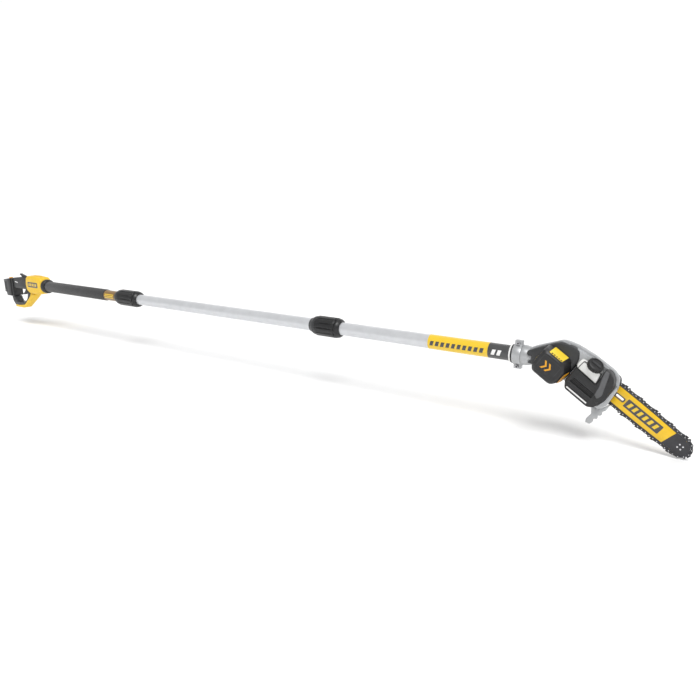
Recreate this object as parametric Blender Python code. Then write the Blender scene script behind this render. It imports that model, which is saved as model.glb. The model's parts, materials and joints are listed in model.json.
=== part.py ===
"""Sectional pole saw with a battery handle, built as separate solids.

The pole's axis is the X axis while the parts are made, with the saw head at +X, the oil tank
side at -Y and up at +Z.  X = 0 is where the pole meets the head's clamp.  Lengths are in
millimetres and turn into metres in make_object.  At the end the whole assembly is moved so
that the origin is at the middle of the bottom of its box.
"""
import math

import bmesh
import bpy
from mathutils import Matrix, Vector

MM = 0.001
GAP = 0.3                      # clearance between touching or nested pieces

# ---- driving dimensions -------------------------------------------------------------------
TUBE_RADIUS = 18.0             # outer radius of the three aluminium tubes
TUBE_WALL = 1.5
FOAM_WALL = 2.7                # foam sleeve on the rear tube
LABEL_WALL = 0.4

HANDLE_X = -2100.0             # reference point of the D-handle
REAR_TUBE_START = -2000.0
FOAM_START = -1921.5
FOAM_END = -1533.0
REAR_LABEL_LENGTH = 62.0
REAR_JOINT_X = -1470.0         # rear end of the first coupling
REAR_JOINT_LENGTH = 123.0
FRONT_JOINT_X = -588.0         # rear end of the second coupling
FRONT_JOINT_LENGTH = 104.0
TUBE_END_X = 30.0              # the head tube's end, inside the clamp
YELLOW_LABEL = (-214.0, -56.3)
GREY_LABEL = (-56.0, -4.6)

COLLAR_RADIUS = TUBE_RADIUS + 10.5
COLLAR_FLUTES = 12
FLUTE_DEPTH = 1.6
THREAD_RADIUS = TUBE_RADIUS + 5.0
SOCKET_CONE = 22.0
COLLAR_TRAVEL = 40.0

HEAD_PIVOT_X = 142.76          # where the bar's centre line crosses the pole's axis
HEAD_ANGLE = math.radians(34.0)
CASE_NEAR = -10.0              # near and far faces of the cast gear case
CASE_FAR = 3.0
BAR_Y = 8.0
BAR_THICKNESS = 3.6
BAR_EDGE = 19.0                # half width of the bar at its two ends
BAR_BELLY = 3.0                # extra half width half way along the bar
CHAIN_WIDTH = 6.0
SPROCKET_A = 5.0               # sprocket and nose centres along the bar's centre line
NOSE_A = 270.0
CHAIN_INNER = 0.4              # from the bar's edge to the chain
CHAIN_HEIGHT = 5.5
CUTTER_HEIGHT = 3.0
CHAIN_PITCHES = 34

MOTOR_A = -24.0                # motor axis in the head's frame
MOTOR_N = -24.0
PINION_RADIUS = 9.3
GEAR_RADIUS = 3.0 * PINION_RADIUS
STATOR_RADIUS = 22.0
ROTOR_RADIUS = 12.0
MOTOR_FRONT = -62.0            # near face of the motor cover
HOUSING_NEAR = -24.0           # joint face between motor cover and motor housing
COVER_NEAR = -32.0             # near face of the tank cover
SPROCKET_COVER_FAR = 22.0
SPROCKET_DOME_FAR = 32.0
DOME_RADIUS = 22.0
STUD_A = 58.0
TENSION_N = -16.0
TENSION_TRAVEL = 6.0

CLAMP_X = (4.0, 24.0)          # the clamp's two ends along the pole
CLAMP_RADIUS = TUBE_RADIUS + 6.5
NECK_END = 50.0
EAR_X = (5.2, 22.8)
EAR_Z = (TUBE_RADIUS + 1.0, TUBE_RADIUS + 15.5)
EAR_Y = 8.0
SCREW_X = 14.0
SCREW_Z = TUBE_RADIUS + 9.6
SCREW_HEAD = 4.0
SCREW_SHANK = 2.5
SCREW_HOLE = SCREW_SHANK + GAP
CASE_OUTLINE = [(-100, -48), (-88, -26), (-62, 10), (-50, 26, 14), (-22, 36), (22, 42.5), (74, 43), (90, 37, 14),
                (103, 17), (109, -25), (100, -46), (80, -49), (10, -46), (-20, -52), (-60, -58), (-80, -72)]
SPINDLE_RADIUS = 4.0
SPINDLE_HOLE = 9.3
HOOK_OUTLINE = [(86, -50.5), (97, -50), (103.5, -47), (109, -35), (112, -24), (114.5, -26), (115.5, -40),
                (112, -46), (116, -54), (110, -60), (115, -66), (108.5, -72), (112.5, -79), (110, -87),
                (101, -90), (97, -82), (98, -66), (90, -56)]
HOUSING_OUTLINE = [(-96, -46), (-84, -26), (-62, 8), (-50, 22, 12), (-20, 32.5), (-7, 31), (4, 14), (7, -12),
                   (7, -44), (-4, -57), (-58, -57), (-78, -68)]
COVER_SECTIONS = (            # y and the block's left, right, bottom, top in the head's frame
    (-62.0, -61, -4, -54, -3),
    (-57.0, -66, 1, -58, 1),
    (-24.3, -67, 6, -58, 6),
)
UPPER_VENT_X = (-50.0, -18.0)
TANK_COVER = [(9, 2), (14, 3), (64, 1), (62, 20), (57, 38), (68, 42), (84, 36), (95, 18), (98, -20), (91, -42, 12),
              (80, -50), (20, -50), (9, -34)]
CAP_RADIUS = 17.8
CAP_TILT = math.radians(25)
NOSE_SLOT = 2.0                # gap in the bar's nose for its sprocket

GRIP_HALF = 17.0               # half widths of the handle across the pole
NOSE_HALF = 23.0
STRUT_HALF = 15.0
BATTERY_HALF = 23.0
BATTERY_WALL = 2.5
BUTTON_HALF = 7.0
BATTERY_BACK = -115.0
BATTERY_SPLIT = -86.0
BATTERY_FRONT = -62.5          # front face of the battery, from HANDLE_X
NOSE_END = 170.0               # front of the nose shells, from HANDLE_X
HAND_HOLE = (-50.0, 52.0, -80.0, -21.0)   # x0, x1, z0, z1 from HANDLE_X
TRIGGER_PIN = (33.0, -9.0)
LEVER_PIVOT = (26.0, 20.0)
PIN_RADIUS = 2.0

# ---- frames -------------------------------------------------------------------------------
POLE = Matrix.Identity(4)
HANDLE = Matrix.Translation((HANDLE_X, 0, 0))
HEAD = Matrix.Translation((HEAD_PIVOT_X, 0, 0)) @ Matrix.Rotation(HEAD_ANGLE, 4, "Y")
ALONG_Y = Matrix.Rotation(math.pi / 2, 4, "Z")      # turns a lathe's X axis to +Y
CAP_FRAME = (HEAD @ Matrix.Translation((36, -28, 26)) @ Matrix.Rotation(CAP_TILT, 4, "X")
             @ Matrix.Rotation(-math.pi / 2, 4, "Y"))
TENSION_FRAME = HEAD @ Matrix.Translation((0, -4, TENSION_N))

COLOURS = {                    # base colour, roughness, metallic
    "aluminium": ((0.78, 0.79, 0.80), 0.35, 1.0),
    "cast_alloy": ((0.55, 0.56, 0.57), 0.45, 0.9),
    "steel": ((0.42, 0.42, 0.44), 0.35, 1.0),
    "black_plastic": ((0.035, 0.035, 0.038), 0.5, 0.0),
    "grey_plastic": ((0.10, 0.10, 0.105), 0.5, 0.0),
    "black_rubber": ((0.025, 0.025, 0.025), 0.8, 0.0),
    "foam": ((0.05, 0.05, 0.052), 0.95, 0.0),
    "yellow_plastic": ((0.80, 0.50, 0.02), 0.45, 0.0),
    "yellow_paint": ((0.80, 0.47, 0.01), 0.35, 0.0),
    "orange_plastic": ((0.85, 0.42, 0.02), 0.4, 0.0),
    "amber_label": ((0.35, 0.20, 0.05), 0.5, 0.0),
    "grey_label": ((0.09, 0.09, 0.095), 0.5, 0.0),
    "tank_plastic": ((0.80, 0.80, 0.78), 0.35, 0.0),
    "copper": ((0.70, 0.35, 0.18), 0.4, 1.0),
}


# ---- general helpers ----------------------------------------------------------------------
def material(name):
    """The Principled material of that name, made on first use."""
    found = bpy.data.materials.get(name)
    if found:
        return found
    colour, roughness, metallic = COLOURS[name]
    made = bpy.data.materials.new(name)
    made.use_nodes = True
    shader = made.node_tree.nodes["Principled BSDF"]
    shader.inputs["Base Color"].default_value = (*colour, 1.0)
    shader.inputs["Roughness"].default_value = roughness
    shader.inputs["Metallic"].default_value = metallic
    return made


def make_object(name, bm, parent, paint, smooth=35.0):
    """Turn a mesh in millimetres into an object that hangs on the empty of its body."""
    bmesh.ops.recalc_face_normals(bm, faces=bm.faces)
    place = parent.matrix_world.inverted() if parent else Matrix.Identity(4)
    bm.transform(place @ Matrix.Diagonal((MM, MM, MM, 1.0)))
    mesh = bpy.data.meshes.new(name)
    bm.to_mesh(mesh)
    bm.free()
    mesh.materials.append(material(paint))
    mesh.shade_smooth()
    mesh.set_sharp_from_angle(angle=math.radians(smooth))
    made = bpy.data.objects.new(name, mesh)
    bpy.context.scene.collection.objects.link(made)
    made.parent = parent
    return made


def body(name, parent=None, at=(0, 0, 0), frame=POLE):
    """An empty that carries the pieces of one moving body, at a point of its joint's axis."""
    empty = bpy.data.objects.new(name, None)
    bpy.context.scene.collection.objects.link(empty)
    empty.parent = parent
    place = Matrix.Translation(frame @ Vector(at) * MM)
    empty.matrix_parent_inverse = parent.matrix_world.inverted() if parent else POLE
    empty.matrix_basis = place
    bpy.context.view_layer.update()
    return empty


def carve(target, cutters, operation="DIFFERENCE"):
    """Boolean each cutter mesh with the target, in order."""
    for bm in cutters:
        number = len(target.modifiers)
        tool = make_object(f"{target.name}_tool_{number}", bm, target.parent, "steel")
        tool.hide_render = True
        tool.display_type = "WIRE"
        cut = target.modifiers.new(f"{operation.lower()}_{number}", "BOOLEAN")
        cut.operation = operation
        cut.solver = "EXACT"
        cut.object = tool
    return target


def fillet(points, radius, steps=3):
    """Round the corners of a closed outline; a corner may have its own radius as third value."""
    outline = []
    count = len(points)
    for i, point in enumerate(points):
        here = Vector(point[:2])
        size = point[2] if len(point) > 2 else radius
        before = Vector(points[i - 1][:2]) - here
        after = Vector(points[(i + 1) % count][:2]) - here
        reach = min(size, 0.45 * before.length, 0.45 * after.length)
        if reach < 0.05:
            outline.append(tuple(here))
            continue
        start = here + before.normalized() * reach
        end = here + after.normalized() * reach
        for step in range(steps + 1):
            t = step / steps
            outline.append(tuple(start * (1 - t) ** 2 + here * 2 * t * (1 - t) + end * t ** 2))
    return outline


def circle(centre, radius, steps=32):
    """A closed outline round a centre."""
    turn = 2 * math.pi / steps
    return [(centre[0] + radius * math.cos(i * turn), centre[1] + radius * math.sin(i * turn))
            for i in range(steps)]


def rectangle(x0, x1, z0, z1):
    return [(x0, z0), (x1, z0), (x1, z1), (x0, z1)]


def prism(outline, y0, y1, frame=POLE, near=0.0, far=0.0, steps=2):
    """Extrude an x-z outline along Y; near and far are the bevels of its two end faces."""
    bm = bmesh.new()
    verts = [bm.verts.new((x, y0, z)) for x, z in outline]
    base = bm.faces.new(verts)
    side = bmesh.ops.extrude_face_region(bm, geom=[base])["geom"]
    top = [item for item in side if isinstance(item, bmesh.types.BMVert)]
    bmesh.ops.translate(bm, verts=top, vec=(0, y1 - y0, 0))
    bmesh.ops.recalc_face_normals(bm, faces=bm.faces)
    for width, level in ((near, min(y0, y1)), (far, max(y0, y1))):
        if width:
            rim = [e for e in bm.edges if all(abs(v.co.y - level) < 1e-6 for v in e.verts)]
            bmesh.ops.bevel(bm, geom=rim, offset=width, segments=steps, profile=0.5,
                            affect="EDGES", clamp_overlap=True)
    bm.transform(frame)
    return bm


def loft(sections, frame=POLE):
    """Join outlines of equal length, given as (y, outline), into one closed solid."""
    bm = bmesh.new()
    rings = [[bm.verts.new((x, y, z)) for x, z in outline] for y, outline in sections]
    for ring, following in zip(rings, rings[1:]):
        for i in range(len(ring)):
            j = (i + 1) % len(ring)
            bm.faces.new((ring[i], ring[j], following[j], following[i]))
    bm.faces.new(rings[0])
    bm.faces.new(rings[-1])
    bm.transform(frame)
    return bm


def lathe(profile, frame=POLE, steps=32, wave=None):
    """Turn a closed (x, radius) profile round X.  A point on the axis has radius 0.
    wave(angle, x, radius) gives a change of radius, for flutes and teeth."""
    bm = bmesh.new()
    columns = []
    for i in range(steps):
        angle = 2 * math.pi * i / steps
        column = []
        for x, radius in profile:
            if radius == 0 and columns:
                column.append(columns[0][len(column)])
                continue
            size = radius + (wave(angle, x, radius) if wave and radius else 0)
            column.append(bm.verts.new((x, size * math.cos(angle), size * math.sin(angle))))
        columns.append(column)
    count = len(profile)
    for i in range(steps):
        one = columns[i]
        two = columns[(i + 1) % steps]
        for j in range(count):
            k = (j + 1) % count
            corners = []
            for vert in (one[j], one[k], two[k], two[j]):
                if vert not in corners:
                    corners.append(vert)
            if len(corners) > 2:
                bm.faces.new(corners)
    bm.transform(frame)
    return bm


def rod(x0, x1, radius, frame=POLE, steps=24):
    return lathe([(x0, 0), (x0, radius), (x1, radius), (x1, 0)], frame, steps)


def pipe(x0, x1, inner, outer, frame=POLE, steps=32):
    return lathe([(x0, inner), (x0, outer), (x1, outer), (x1, inner)], frame, steps)


def across(a, n, frame=HEAD):
    """A frame whose lathe axis runs along +Y through the point (a, n)."""
    return frame @ Matrix.Translation((a, 0, n)) @ ALONG_Y


def block(x0, x1, y0, y1, z0, z1, frame=POLE, bevel=0.0):
    """A box, with its long and short edges bevelled when asked."""
    return prism(rectangle(x0, x1, z0, z1), y0, y1, frame, bevel, bevel)


# ---- handle and battery -------------------------------------------------------------------
def handle_outlines():
    """The grip, the black frame under the hand hole, the nose and the guard strut, from HANDLE_X."""
    x0, x1, z0, z1 = HAND_HOLE
    grip = fillet([(x0 + GAP, 20), (-30, 23), (38, 26), (52, 20), (46, 0), (x1, z1 - 1), (x0 + GAP, z1)], 6)
    seam = [(69, -33), (64, -47), (14, -88), (-24, -93), (-57, -93)]
    column = fillet([(x0 - 25, -58.5), (x0 - 2, -58.5), (x0, z0 + 14), (x0 + 10, z0), (x1 - 34, z0 + 1),
                     (x1 - 12, -61), (x1 - 4, -38), (x1 + 1, -24.5, 1)] + seam + [(-64, -86), (x0 - 25, -66)], 5)
    end = NOSE_END
    nose = fillet([(56, 28), (66, 36, 3), (110, 37.5), (end - 10, 34), (end, 22), (end, -26), (end - 32, -36),
                   (78, -36), (56, -24), (50, 0)], 8)
    under = [(x + GAP, z - GAP) for x, z in reversed(seam[1:])]
    strut = fillet([(x0 - 8, -97), *under, (70, -34.5, 1), (78, -38), (100, -38), (88, -50), (10, -102),
                    (x0 - 2, -102)], 5)
    return grip, column, nose, strut


def build_handle(rear):
    """Grip and nose half shells, the column, the guard strut, dock and switch gear."""
    x0, x1, z0, z1 = HAND_HOLE
    grip, column, nose, strut = handle_outlines()
    for side, sign in (("right", -1), ("left", 1)):
        inner = GAP / 2 * sign
        rims = {"near": 8.0} if sign < 0 else {"far": 8.0}
        shell = make_object(f"grip_shell_{side}", prism(grip, inner, GRIP_HALF * sign, HANDLE, **rims),
                            rear, "black_plastic")
        pocket = 11.0 * sign
        carve(shell, [
            prism(rectangle(x0 + 5, 40, -13, 14), -sign, pocket, HANDLE),
            prism(rectangle(-14, 42, -40, 0), -sign, 7.3 * sign, HANDLE),
            prism(rectangle(-18, 32, 5, 40), -sign, 6.8 * sign, HANDLE),
            rod(-14 - GAP, 14 + GAP, PIN_RADIUS + GAP, across(*TRIGGER_PIN, HANDLE), 16)])
        rims = {"near": 9.0} if sign < 0 else {"far": 9.0}
        shell = make_object(f"nose_shell_{side}", prism(nose, inner, NOSE_HALF * sign, HANDLE, steps=3, **rims),
                            rear, "yellow_plastic")
        carve(shell, [rod(95, 210, TUBE_RADIUS + GAP, HANDLE),
                      prism(rectangle(64, 90, -24, 24), -sign, 15 * sign, HANDLE)])
    make_object("handle_column", prism(column, -STRUT_HALF, STRUT_HALF, HANDLE, 3.5, 3.5), rear, "black_plastic")
    make_object("guard_strut", prism(strut, -STRUT_HALF, STRUT_HALF, HANDLE, 3.5, 3.5), rear, "yellow_plastic")
    make_object("battery_dock", prism(rectangle(BATTERY_FRONT + GAP, x0, -56, 18), 3 - BATTERY_HALF,
                BATTERY_HALF - 3, HANDLE), rear,
                "black_plastic")
    make_object("switch_module", block(x0 + 6, -20, -9, 9, -11, 11, HANDLE, 1.0), rear, "grey_plastic")
    make_object("trigger_pin", rod(-14, 14, PIN_RADIUS, across(*TRIGGER_PIN, HANDLE), 16), rear, "steel")
    bore = TUBE_RADIUS + 1.0
    throat = TUBE_RADIUS + FOAM_WALL + 0.6
    rim = TUBE_RADIUS + 9.5
    start = NOSE_END + 0.4
    seat = start + 7.6
    end = start + 19.6
    ring = [(start, bore), (start, rim), (end - 5, rim), (end, rim - 3.5), (end, throat), (seat, throat),
            (seat, bore)]
    make_object("nose_ring", lathe(ring, HANDLE), rear, "black_plastic")


def build_trigger(rear):
    """The trigger swings on its pin in the front of the hand hole."""
    trigger = body("trigger_body", rear, (TRIGGER_PIN[0], 0, TRIGGER_PIN[1]), HANDLE)
    outline = fillet([(37, -5), (40.5, -20), (34, -35), (20, -43), (2, -48), (-4, -44), (9, -37), (18, -27),
                      (22, -16), (24, -5)], 3)
    made = make_object("trigger", prism(outline, -6.5, 6.5, HANDLE, 2, 2), trigger, "black_plastic")
    carve(made, [rod(-9, 9, PIN_RADIUS + GAP, across(*TRIGGER_PIN, HANDLE), 16)])


def build_lever(rear):
    """The lock-off lever rocks in the top of the grip."""
    lever = body("lock_off_body", rear, (LEVER_PIVOT[0], 0, LEVER_PIVOT[1]), HANDLE)
    outline = fillet([(30, 16), (30, 29), (18, 32), (-4, 37), (-12, 40), (-13, 35), (0, 29), (8, 16)], 2.5)
    make_object("lock_off_lever", prism(outline, -6, 6, HANDLE, 1.5, 1.5), lever, "black_plastic")


def battery_top(x):
    """The battery's top slopes up towards the dock."""
    share = (x - BATTERY_BACK) / (BATTERY_FRONT - BATTERY_BACK)
    return 10 + 8 * share


def build_battery(rear):
    """A two-part battery case round its cells, which slides up off the dock."""
    battery = body("battery_body", rear, (BATTERY_FRONT, 0, 0), HANDLE)
    half = BATTERY_HALF
    wall = BATTERY_WALL
    bottom = -57
    outline = [(BATTERY_BACK + 16, bottom), (BATTERY_SPLIT, bottom), (BATTERY_SPLIT, battery_top(BATTERY_SPLIT)),
               (BATTERY_BACK, battery_top(BATTERY_BACK))]
    back = make_object("battery_case_rear", prism(fillet(outline, 2.5), -half, half, HANDLE, 2.5, 2.5), battery,
                       "grey_plastic")
    carve(back, [block(-104, BATTERY_SPLIT + 5, -half + wall, half - wall, -52, 8, HANDLE),
                 block(-100, -90, -BUTTON_HALF - GAP, BUTTON_HALF + GAP, 0, 30, HANDLE)])
    start = BATTERY_SPLIT + GAP
    outline = [(start, bottom), (BATTERY_FRONT, bottom), (BATTERY_FRONT, battery_top(BATTERY_FRONT)),
               (start, battery_top(start))]
    front = make_object("battery_case_front", prism(outline, -half, half, HANDLE, 1.5, 1.5), battery,
                        "black_plastic")
    carve(front, [block(BATTERY_SPLIT - 5, BATTERY_FRONT - 3, -half + wall, half - wall, -52, 10, HANDLE)])
    inner = half - wall - 0.5
    make_object("battery_cells", block(-103, BATTERY_FRONT - 3.5, -inner, inner, -51.5, -4, HANDLE, 2), battery,
                "copper")
    button = body("battery_button_body", battery, (-95, 0, 14), HANDLE)
    make_object("battery_button", block(-99.7, -90.3, -BUTTON_HALF, BUTTON_HALF, 4, 17.5, HANDLE, 0.8), button,
                "orange_plastic")


def build_rear_pole(rear):
    """Tube, foam grip and label behind the first coupling."""
    end = REAR_JOINT_X + SOCKET_CONE + 8
    make_object("rear_tube", pipe(REAR_TUBE_START, end, TUBE_RADIUS - TUBE_WALL, TUBE_RADIUS), rear, "aluminium")
    make_object("foam_grip", pipe(FOAM_START, FOAM_END, TUBE_RADIUS + GAP, TUBE_RADIUS + FOAM_WALL),
                rear, "foam")
    label = (FOAM_END + 0.5, FOAM_END + 0.5 + REAR_LABEL_LENGTH)
    make_object("rear_label", pipe(*label, TUBE_RADIUS + GAP, TUBE_RADIUS + GAP + LABEL_WALL), rear, "amber_label")
    make_object("rear_wire", rod(REAR_TUBE_START + 5, REAR_JOINT_X + SOCKET_CONE, 3.5, POLE, 12), rear,
                "black_rubber")


# ---- couplings and tubes ------------------------------------------------------------------
def flutes(count, depth):
    """A change of radius that cuts shallow grooves into a collar."""
    def wave(angle, x, radius):
        groove = max(0.0, math.cos(count * angle)) ** 3
        return -depth * groove if radius > COLLAR_RADIUS - 1 else 0.0
    return wave


def coupling(x0, length, name, behind, ahead, behind_parent, ahead_parent):
    """A threaded socket on the section behind, a plug on the section ahead, and the collar
    with its thrust ring that draw the two together."""
    spigot = x0 + SOCKET_CONE + 40
    bore = TUBE_RADIUS + GAP
    socket = [(x0, bore), (x0, bore + 1.2), (x0 + SOCKET_CONE - 2, COLLAR_RADIUS - 2),
              (x0 + SOCKET_CONE, COLLAR_RADIUS - 2), (x0 + SOCKET_CONE, THREAD_RADIUS),
              (spigot, THREAD_RADIUS), (spigot, bore)]
    make_object(f"{behind}_socket", lathe(socket), behind_parent, "black_plastic")
    stem = TUBE_RADIUS - TUBE_WALL - GAP
    plug_start = x0 + SOCKET_CONE + 8 + GAP
    plug = [(plug_start, 5), (plug_start, TUBE_RADIUS), (spigot + 2, TUBE_RADIUS), (spigot + 2, stem),
            (spigot + 28, stem), (spigot + 28, 5)]
    make_object(f"{ahead}_plug", lathe(plug), ahead_parent, "grey_plastic")
    ring = body(f"{name}_ring_body", ahead_parent, (spigot + 6, 0, 0))
    make_object(f"{name}_thrust_ring", pipe(spigot + 3, spigot + 8, TUBE_RADIUS + GAP, THREAD_RADIUS), ring,
                "steel")
    turn = body(f"{name}_collar_body", ring, (spigot + 6, 0, 0))
    start = x0 + SOCKET_CONE + GAP
    end = x0 + length
    big = COLLAR_RADIUS
    inner = THREAD_RADIUS + 0.5
    shoulder = spigot + 8 + GAP
    collar = [(start, inner), (start, big - 1.5), (start + 2, big), (end - 16, big), (end - 14, big - 2.2),
              (end - 6, big - 3.5), (end, TUBE_RADIUS + 2.2), (end, bore), (shoulder, bore), (shoulder, inner)]
    make_object(f"{name}_collar", lathe(collar, POLE, 72, flutes(COLLAR_FLUTES, FLUTE_DEPTH)), turn,
                "black_rubber")
    return spigot + 2 + GAP


def build_extension(rear):
    """The middle section, between its plug and the socket of the second coupling."""
    extension = body("extension_section", rear, (REAR_JOINT_X, 0, 0))
    start = coupling(REAR_JOINT_X, REAR_JOINT_LENGTH, "rear", "rear", "extension", rear, extension)
    end = FRONT_JOINT_X + SOCKET_CONE + 8
    make_object("extension_tube", pipe(start, end, TUBE_RADIUS - TUBE_WALL, TUBE_RADIUS), extension, "aluminium")
    make_object("extension_wire", rod(start + 30, FRONT_JOINT_X + SOCKET_CONE, 3.5, POLE, 12), extension,
                "black_rubber")
    head = body("head_section", extension, (FRONT_JOINT_X, 0, 0))
    start = coupling(FRONT_JOINT_X, FRONT_JOINT_LENGTH, "front", "extension", "head", extension, head)
    make_object("head_tube", pipe(start, TUBE_END_X, TUBE_RADIUS - TUBE_WALL, TUBE_RADIUS), head, "aluminium")
    make_object("head_wire", rod(start + 30, TUBE_END_X - 2, 3.5, POLE, 12), head, "black_rubber")
    inner = TUBE_RADIUS + GAP
    make_object("yellow_label", pipe(*YELLOW_LABEL, inner, inner + LABEL_WALL), head, "yellow_plastic")
    make_object("grey_label", pipe(*GREY_LABEL, inner, inner + LABEL_WALL), head, "grey_label")
    seal = [(GREY_LABEL[1] + GAP, inner), (GREY_LABEL[1] + GAP, inner + 3), (CLAMP_X[0] - GAP, inner + 4.5),
            (CLAMP_X[0] - GAP, inner)]
    make_object("seal_ring", lathe(seal), head, "black_rubber")
    return head


# ---- cast gear case and pole clamp --------------------------------------------------------


def build_case(head):
    """The casting that clamps the pole and carries gears, bar and cover."""
    plate = prism(fillet(CASE_OUTLINE, 7), CASE_NEAR, CASE_FAR, HEAD, 1.5, 1.5)
    case = make_object("gear_case", plate, head, "cast_alloy")
    neck = lathe([(CLAMP_X[0], 0), (CLAMP_X[0], CLAMP_RADIUS), (32, CLAMP_RADIUS - 1), (NECK_END, 20),
                  (NECK_END, 0)])
    carve(case, [neck], "UNION")
    ears = [block(*EAR_X, -2, EAR_Y, sign * EAR_Z[0], sign * EAR_Z[1], POLE, 2.0)
            for sign in (-1, 1)]
    carve(case, ears, "UNION")
    near_half = block(CLAMP_X[0] - 6, CLAMP_X[1] + 2 * GAP, -61, GAP / 2 + 0.05, -63, 63)
    tools = [near_half, rod(-5, TUBE_END_X + GAP, TUBE_RADIUS + GAP, POLE),
             rod(CASE_NEAR - 5, CASE_FAR - 4, GEAR_RADIUS + 2, across(SPROCKET_A, 0)),
             rod(CASE_NEAR - 6, CASE_FAR - 4.4, PINION_RADIUS + 1.7, across(MOTOR_A, MOTOR_N), 24),
             rod(CASE_FAR - 9, CASE_FAR + 5, SPINDLE_HOLE, across(SPROCKET_A, 0), 24),
             rod(CASE_FAR - 9, CASE_FAR + 5, 4.3, across(STUD_A, 0), 16)]
    tools += [rod(-1, EAR_Y + 5, SCREW_HOLE, across(SCREW_X, sign * SCREW_Z, POLE), 16) for sign in (-1, 1)]
    tools += [rod(50, 130, 2.5, TENSION_FRAME, 16),
              rod(102, 130, 4.2, TENSION_FRAME, 16),
              block(58, 82, -8.6, 10, TENSION_N - 5.4, TENSION_N + 5.4, HEAD)]
    carve(case, tools)
    cap = make_object("clamp_cap", pipe(CLAMP_X[0], CLAMP_X[1], TUBE_RADIUS + GAP, CLAMP_RADIUS), head,
                      "cast_alloy")
    ears = [block(*EAR_X, -EAR_Y, 2, sign * EAR_Z[0], sign * EAR_Z[1], POLE, 2.0)
            for sign in (-1, 1)]
    carve(cap, ears, "UNION")
    tools = [block(CLAMP_X[0] - 5, CLAMP_X[1] + 5, -GAP / 2, 60, -60, 60),
             rod(-5, TUBE_END_X, TUBE_RADIUS + GAP, POLE)]
    tools += [rod(-EAR_Y - 5, 5, SCREW_HOLE, across(SCREW_X, sign * SCREW_Z, POLE), 16) for sign in (-1, 1)]
    carve(cap, tools)
    for sign, name in ((1, "upper"), (-1, "lower")):
        top = -EAR_Y - 4
        seat = -EAR_Y - GAP
        screw = lathe([(top, 0), (top, SCREW_HEAD), (seat, SCREW_HEAD), (seat, SCREW_SHANK),
                       (EAR_Y - 1, SCREW_SHANK), (EAR_Y - 1, 0)], across(SCREW_X, sign * SCREW_Z, POLE), 16)
        make_object(f"clamp_screw_{name}", screw, head, "steel")


def build_hook(head):
    """The toothed branch hook below the gear case."""
    make_object("branch_hook", prism(fillet(HOOK_OUTLINE, 2), CASE_NEAR + 2, CASE_FAR - 3, HEAD, 1, 1), head,
                "cast_alloy")


# ---- motor, housing and oil tank ----------------------------------------------------------


def build_motor_housing(head):
    """Housing behind the motor, and the cover over it with its two vents."""
    axis = across(MOTOR_A, MOTOR_N)
    housing = make_object("motor_housing", prism(fillet(HOUSING_OUTLINE, 6), HOUSING_NEAR, CASE_NEAR - GAP,
                          HEAD, 5, 0), head, "black_plastic")
    carve(housing, [rod(-60, 0, 6, axis, 24), rod(-10, NECK_END + GAP, CLAMP_RADIUS + GAP, POLE)])
    sections = []
    for y, left, right, bottom, top in COVER_SECTIONS:
        corners = [(left, top - 4, 8), (left + 12, top, 8), (right - 14, top, 8), (right, top - 20, 8),
                   (right, bottom + 12, 8), (right - 10, bottom, 8), (left + 8, bottom, 8),
                   (left, bottom + 14, 8)]
        sections.append((y, fillet(corners, 8)))
    cover = make_object("motor_cover", loft(sections, HEAD), head, "black_plastic")
    carve(cover, [rod(MOTOR_FRONT + 9, 0, STATOR_RADIUS + GAP, axis),
                  rod(MOTOR_FRONT + 4, -20, 6.2, axis, 20),
                  block(*UPPER_VENT_X, -54.3, -27.7, 2.0, 20, HEAD),
                  block(1.7, 20, -50.3, -29.7, -42.3, -17.7, HEAD)])
    make_object("upper_vent", block(UPPER_VENT_X[0] + GAP, UPPER_VENT_X[1] - GAP, -54, -28, 2.3, 6.5, HEAD, 0.5),
                head, "yellow_plastic")
    make_object("lower_vent", block(2.0, 7.2, -50, -30, -42, -18, HEAD, 0.5), head, "orange_plastic")
    make_object("stator", pipe(-52, -28, ROTOR_RADIUS + 0.6, STATOR_RADIUS, axis), head, "copper")


def gear_teeth(count, depth, rim):
    """A change of radius that cuts square-ish teeth into a rim."""
    def wave(angle, x, radius):
        return -depth if radius >= rim and math.cos(count * angle) < 0 else 0.0
    return wave


def build_drive(head):
    """Rotor with its pinion, the drive gear on its spindle, and the sprocket."""
    motor = body("motor_body", head, (MOTOR_A, 0, MOTOR_N), HEAD)
    axis = across(MOTOR_A, MOTOR_N)
    rotor = [(-56, 0), (-56, 2.5), (-52, 2.5), (-52, ROTOR_RADIUS), (-28, ROTOR_RADIUS), (-28, 2.5), (-22, 2.5),
             (-9.5, 2.5), (-9.5, PINION_RADIUS), (-2.5, PINION_RADIUS), (-2.5, 0)]
    make_object("motor_rotor", lathe(rotor, axis, 36, gear_teeth(9, 1.5, PINION_RADIUS)), motor, "steel")
    drive = body("drive_body", head, (SPROCKET_A, 0, 0), HEAD)
    axis = across(SPROCKET_A, 0)
    gear = [(-8.5, 0), (-8.5, 4), (-8, 4), (-8, GEAR_RADIUS), (-2.5, GEAR_RADIUS), (-2.5, 4), (13, 4), (13, 0)]
    make_object("drive_gear", lathe(gear, axis, 108, gear_teeth(27, 1.5, GEAR_RADIUS)), drive, "steel")
    teeth = 6
    def wave(angle, x, radius):
        return -2.5 if radius > 12 and math.cos(teeth * angle) < -0.2 else 0.0
    sprocket = [(5.4, 4 + GAP), (5.4, 15), (10.6, 15), (10.6, 4 + GAP)]
    make_object("sprocket", lathe(sprocket, axis, 48, wave), drive, "steel")
    make_object("spindle_bearing", pipe(-1, 3, 4 + GAP, SPINDLE_HOLE - GAP, axis, 24), head, "steel")


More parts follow.
